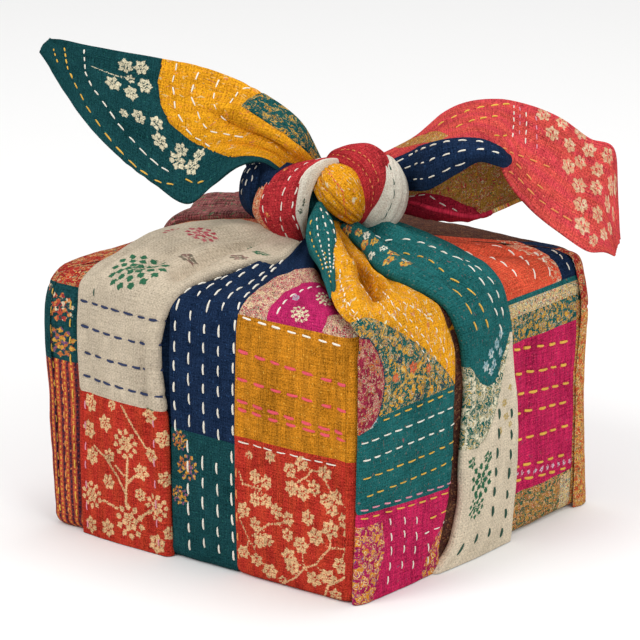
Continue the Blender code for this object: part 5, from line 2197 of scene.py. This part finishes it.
    def sheets(self) -> list[ClothSheet]:
        """Every part of the knot."""
        return [
            self.left_wrap(), self.right_wrap(), self.outer_wrap(), self.centre_pad(), self.loop(),
            # The main core is a real bundle of the cloth; its dark teal is painted shade, so that it reads as
            # a deep shadowed fold where it shows between the wraps.
            self.core("knot_core", TEAL, (0, -2, 137), (29, 13, 15)),
            self.core("knot_back_left", NAVY, (-15, -4, 139), (12, 17, 17), 10),
            self.core("knot_back_right", ORANGE, (17, -4, 141), (13, 16, 17), -12),
            self.core("knot_neck", TEAL_FLECKED, (2, -1, 126), (16, 9, 8)),
        ]


@dataclass
class Ears:
    """The two free ends of the knot."""

    thickness: float = 1.7

    def left_ear(self) -> LoftedSheet:
        """The long left ear, teal with a yellow field at its root."""
        rows = (
            ((1, -4, 153), (-3, 0, 151), (-8, 2, 149), (-12, 4, 146)),
            ((-8, -4, 169), (-12, 5, 165), (-18, 5, 159), (-24, 8, 155.5)),
            ((-19, -7, 177.5), (-24, 4, 172), (-29, 4, 163), (-34, 10, 154)),
            ((-33, -9, 185), (-37, 1, 176), (-41, 4, 162), (-44.5, 10, 146)),
            ((-47.6, -10, 191), (-50, -3, 177), (-52, 2, 158), (-53.8, 12, 139)),
            ((-66, -9, 195.5), (-67.5, -5, 182), (-69, 0, 165), (-70.4, 11, 149)),
            ((-82.8, -7, 199), (-84, -4, 188), (-85.5, 0, 175), (-87, 8, 162)),
            ((-97.3, -4, 202.5), (-98, -2, 194), (-98.7, 1, 185), (-99.4, 6, 176)),
            ((-107.6, -1, 205.4), (-108.2, 0, 201), (-108.8, 1, 196), (-109.3, 3, 191)),
            ((-110.8, 0, 205.4), (-112.6, 0, 204.6), (-114.2, 1, 203), (-115, 1, 200.6)),
        )
        yellow = (
            (-10, 68), (0.8, 67.9), (11.3, 68.7), (20.9, 66.3), (26.6, 62.3), (29, 55.9), (33, 47.1),
            (41, 37.5), (47.5, 29.5),
            (49.9, 19.2), (51.5, 8), (51, -5), (10, -5), (9.7, 3.2), (17.7, 12.8), (17.7, 20.8), (15.3, 27.9),
            (12.9, 35.1),
            (7.2, 34.3), (0, 31.1), (-10, 31),
        )
        motifs = [
            *medallions(
                Ink.FOURTH, 1, (13.7, 81.6, 2.4), (7.4, 84.5, 4.0), (6.2, 77, 3.8), (19.4, 89.6, 4.2),
                (20.6, 80.6, 3.8), (14.6, 74.4, 3.8),
                (30.4, 76, 3.6), (29.4, 67.6, 3.4), (36.8, 65.6, 4.0), (41, 57.5, 4.0), (35.6, 56, 3.2),
                (42, 50.4, 3.8), (37, 47.6, 3.0),
                (33, 83, 2.4),
            ),
            Stem(((13.7, 100), (14.6, 90), (13.7, 81.6)), 0.3, Ink.FOURTH),
        ]
        stitches = [
            *runs(
                Thread.WHITE,
                ((0.8, 61.5), (9.7, 62.3), (20.1, 59.9), (27.4, 53.5), (31.4, 46.3), (36.2, 41.5)),
                ((0.8, 51.9), (12.1, 54.3), (23.3, 47.9), (27.4, 43.9), (30.6, 35), (33, 25.5)),
                ((0, 44.7), (10.5, 45.5), (16.1, 43.9), (24.1, 35.9)), ((0, 34.3), (4, 37.5), (14.5, 39.1)),
                ((0.8, 104.6), (20.1, 103), (29, 99), (41, 85), (46.7, 72), (48.3, 65.5), (47.5, 59)),
                pitch=5.6, length=3.4, thick=0.8,
            ),
            *runs(
                Thread.YELLOW,
                (
                    (8, 115), (23.3, 113.4), (33, 111), (46.7, 101), (53.1, 89), (56.3, 76), (56, 66),
                    (51.5, 58)
                ),
                ((46.7, 54.3), (51.5, 41.5)), ((3, 122), (20, 122), (36, 118)), pitch=6.0, length=3.6,
                thick=0.85,
            ),
        ]
        return LoftedSheet(
            "left_ear", rows=rows, in_knot=True, inside=(-10, 60, 80), held="gathered", step=0.72,
            thickness=self.thickness,
            patches=[whole(TEAL), Patch(TEAL_GOLD, span(-20, 20, -10, 40)), Patch(EAR_YELLOW, yellow)],
            seams=[yellow[:12], yellow[12:]], motifs=motifs, stitches=stitches, underside=TEAL, seed=101,
            creases=[
                Crease(((14.5, 48), (16.9, 38.3), (19.3, 30.3), (21.7, 15), (18.5, 4)), 2.2, 2.8),
                Crease(((16.1, 50), (20.1, 41.5), (28.2, 28.7), (28.2, 4)), -2.6, 2.6),
                Crease(((38, 4), (38, 24), (34, 44)), -1.6, 2.4),
                Crease(((8, 20), (10, 60), (12, 100)), -0.7, 3.4),
            ],
        )

    def right_ear(self) -> LoftedSheet:
        """The right ear's outer face, coral with beige flowers."""
        rows = (
            ((20, -16, 150), (22, -14, 148), (24, -12, 146)), ((32, -17, 155), (33, -13, 153), (34, -9, 150)),
            ((41.4, -13, 162), (42.5, -9, 160), (43.5, -2, 157)),
            ((51.8, -14, 171), (52.5, -9, 167), (53, 0, 160)),
            ((64.2, -14, 176), (65.2, -8, 171), (66.2, 3, 162)),
            ((75, -13, 177), (74.4, -6, 170), (73, 7.5, 157)),
            ((87, -11, 175), (83, -3, 162.5), (77.6, 10.5, 147.8)),
            ((99.4, -8, 170.5), (94, 0, 156), (85.8, 12.5, 137.8)),
            ((111.8, -4, 162.6), (106, 3, 147), (97.8, 13.5, 127.6)),
            ((121.7, 0, 159), (117, 6, 141), (110.5, 14.5, 119.2)),
            ((123, 4, 145), (120, 9, 132), (117.2, 14, 118.7)),
            ((123.4, 11, 124), (122.6, 13, 120), (121.6, 14, 117)),
        )
        motifs = medallions(
            Ink.FIRST, 1, (2.4, 77.7, 3.3), (8.8, 83.5, 3.6), (1.6, 86, 3.1), (0, 95, 3.6), (8.6, 92, 3.3),
            (5, 101, 3.6), (17, 94.6, 3.6),
            (12, 98.8, 3.1), (21.6, 101.6, 3.6), (4.6, 110, 3.6), (12, 107, 3.3), (19, 108.6, 3.4),
            (12, 116, 3.4), (19.6, 117, 3.4),
            (28.6, 104.6, 3.4), (28, 112.6, 3.6), (35.8, 107.6, 3.6), (25.6, 123.6, 3.4), (33.4, 119.6, 3.6),
            (6, 120, 3.3), (38.6, 114, 2.9),
            (15, 124, 2.9),
        )
        stitches = [
            *runs(
                Thread.YELLOW, ((14.3, 33), (14.3, 39.2), (12.7, 45.7), (7.2, 57.7), (3, 64)),
                ((27.8, 39.2), (23.1, 50.5), (15.1, 63)),
                ((34.2, 54.5), (29.4, 61), (22, 67)), pitch=6.0, length=3.6, thick=0.85,
            ),
            *runs(
                Thread.ORANGE, ((39.8, 51.3), (37.4, 58.5), (27, 73.7), (22.3, 89.7)),
                ((40.6, 61.7), (32.6, 71.3), (33.4, 88)),
                ((41.4, 66.5), (37.4, 75.3), (38.2, 86.5), (36.6, 104)), pitch=6.2, length=3.6, thick=0.8,
            ),
            *runs(
                Thread.WHITE, ((3, 65), (23.9, 67.3)), ((3, 70.5), (23, 74.5)), pitch=4.4, length=2.6,
                thick=0.7
            ),
            *runs(
                Thread.ROSE, ((3, 67.6), (19, 70.4)), ((3, 74.5), (21.5, 80)), pitch=4.4, length=2.4,
                thick=0.7
            ),
        ]
        return LoftedSheet(
            "right_ear", rows=rows, in_knot=True, inside=(20, 30, 100), held="gathered", step=0.72,
            thickness=self.thickness,
            patches=[
                whole(EAR_CORAL),
                Patch(
                    EAR_PAISLEY,
                    ((-5, 10), (8.8, 14.4), (37.4, 32), (33.4, 37.6), (21.5, 32), (2.4, 21.6), (-5, 18))
                ),
            ],
            motifs=motifs, stitches=stitches, underside=CRIMSON, seed=103,
        )

    def folded_edge(self) -> LoftedSheet:
        """The right ear's front edge, folded over, in navy."""
        rows = (
            ((24, -10, 148), (25, -6, 149), (26, -4, 144), (27, -5, 139)),
            ((35.5, -12, 151), (36, -8, 154), (36.5, -6, 147), (36.3, -7, 139.5)),
            ((43.5, -9, 156), (44, 1, 160), (45, 9, 152), (45.5, 6, 144)),
            ((53.8, -7, 158.5), (54, 6, 164), (55, 14, 158), (55.9, 10, 152)),
            ((66.2, -4, 160), (66.3, 8, 164.5), (66.5, 14, 161), (66, 11, 157.5)),
            ((73, 0, 158), (73.5, 9, 162), (73.5, 12, 159.5), (73, 10, 155)),
            ((77.5, 1, 157), (77.5, 4, 157), (77.3, 6, 155), (77, 5, 151.5)),
            ((81, -5, 158), (81, -3, 156), (81, -1, 153), (80.5, 0, 150)),
        )
        return LoftedSheet(
            "right_ear_fold", rows=rows, in_knot=True, inside=(60, 20, 120), held="folded", step=0.7,
            thickness=self.thickness,
            patches=[whole(NAVY)], underside=NAVY, seed=107,
            stitches=[
                *runs(
                    Thread.WHITE, ((15, 6), (14.5, 22), (15, 42), (17, 60)),
                    ((21, 8), (20.5, 24), (21, 44), (23, 62)), ((27, 12), (26.5, 28), (27, 46)),
                    pitch=6.6, length=4.0, thick=0.85,
                ),
            ],
        )

    def under_pouch(self) -> LoftedSheet:
        """The hollow under the right ear, olive inside with a crimson lip."""
        rows = (
            ((22, -9, 143), (24, -10, 137), (25, -8, 132), (26, -5, 134)),
            ((35, -12, 146), (35, -12, 136), (35, -8, 130.5), (35, -5, 136)),
            ((50, -9, 154), (50, -9, 140), (50, -1, 129.5), (49.5, 8, 135.5)),
            ((64, -9, 158), (64, -9, 143), (64, -2, 129.8), (64, 6, 132.5)),
            ((74.5, -5, 158), (75, -6, 147), (75, -2, 135), (74.5, 3, 135)),
            ((80.5, 2, 150), (81.5, 0, 145), (82, 0, 138.5), (82, 2, 138)),
            ((84.5, 6, 143), (85, 5, 142), (85.5, 4, 140.5), (85.8, 4, 140)),
        )
        lip = (
            (18.5, -10), (18.5, 8.9), (14.5, 16.9), (19.3, 30.6), (24.9, 41), (36.1, 47.5), (60, 60),
            (60, -10)
        )
        return LoftedSheet(
            "right_ear_hollow", rows=rows, in_knot=True, inside=(40, 80, 60), held="folded", step=0.8,
            thickness=self.thickness,
            patches=[whole(EAR_PAISLEY), Patch(CRIMSON, lip)], seams=[lip[1:6]], underside=CRIMSON, seed=109,
            stitches=[
                *runs(
                    Thread.WHITE, ((15.3, 12), (16.9, 20.9), (20.9, 26.6), (24.9, 33.8), (36.1, 40.2)),
                    pitch=5.4, length=3.2, thick=0.7
                ),
                *runs(
                    Thread.ORANGE, ((24.9, 9.7), (28.1, 20.9), (29.7, 33)), pitch=5.4, length=3.0, thick=0.7
                ),
            ],
        )

    def sheets(self) -> list[ClothSheet]:
        """Both ears, with the right one's fold and hollow."""
        return [self.left_ear(), self.right_ear(), self.folded_edge(), self.under_pouch()]


def main() -> None:
    """Build the dressed gift, its stitches and the studio."""
    logging.basicConfig(level=logging.INFO, format="%(name)s %(message)s")
    Studio().build()
    sewing = Sewing()
    wrap, bands = BodyWrap(), Bands()
    sheets: list[ClothSheet] = [wrap.front(), wrap.right(), wrap.back(), wrap.left(), wrap.base()]
    sheets += [bands.front_band(), bands.fan_flap(), bands.folded_strip(), bands.back_strand()]
    sheets += [bands.corner_lap(), bands.front_strand(), *Knot().sheets(), *Ears().sheets()]
    for sheet in sheets:
        sheet.build(sewing)
    sewing.sew()


if __name__ == "__main__":
    main()
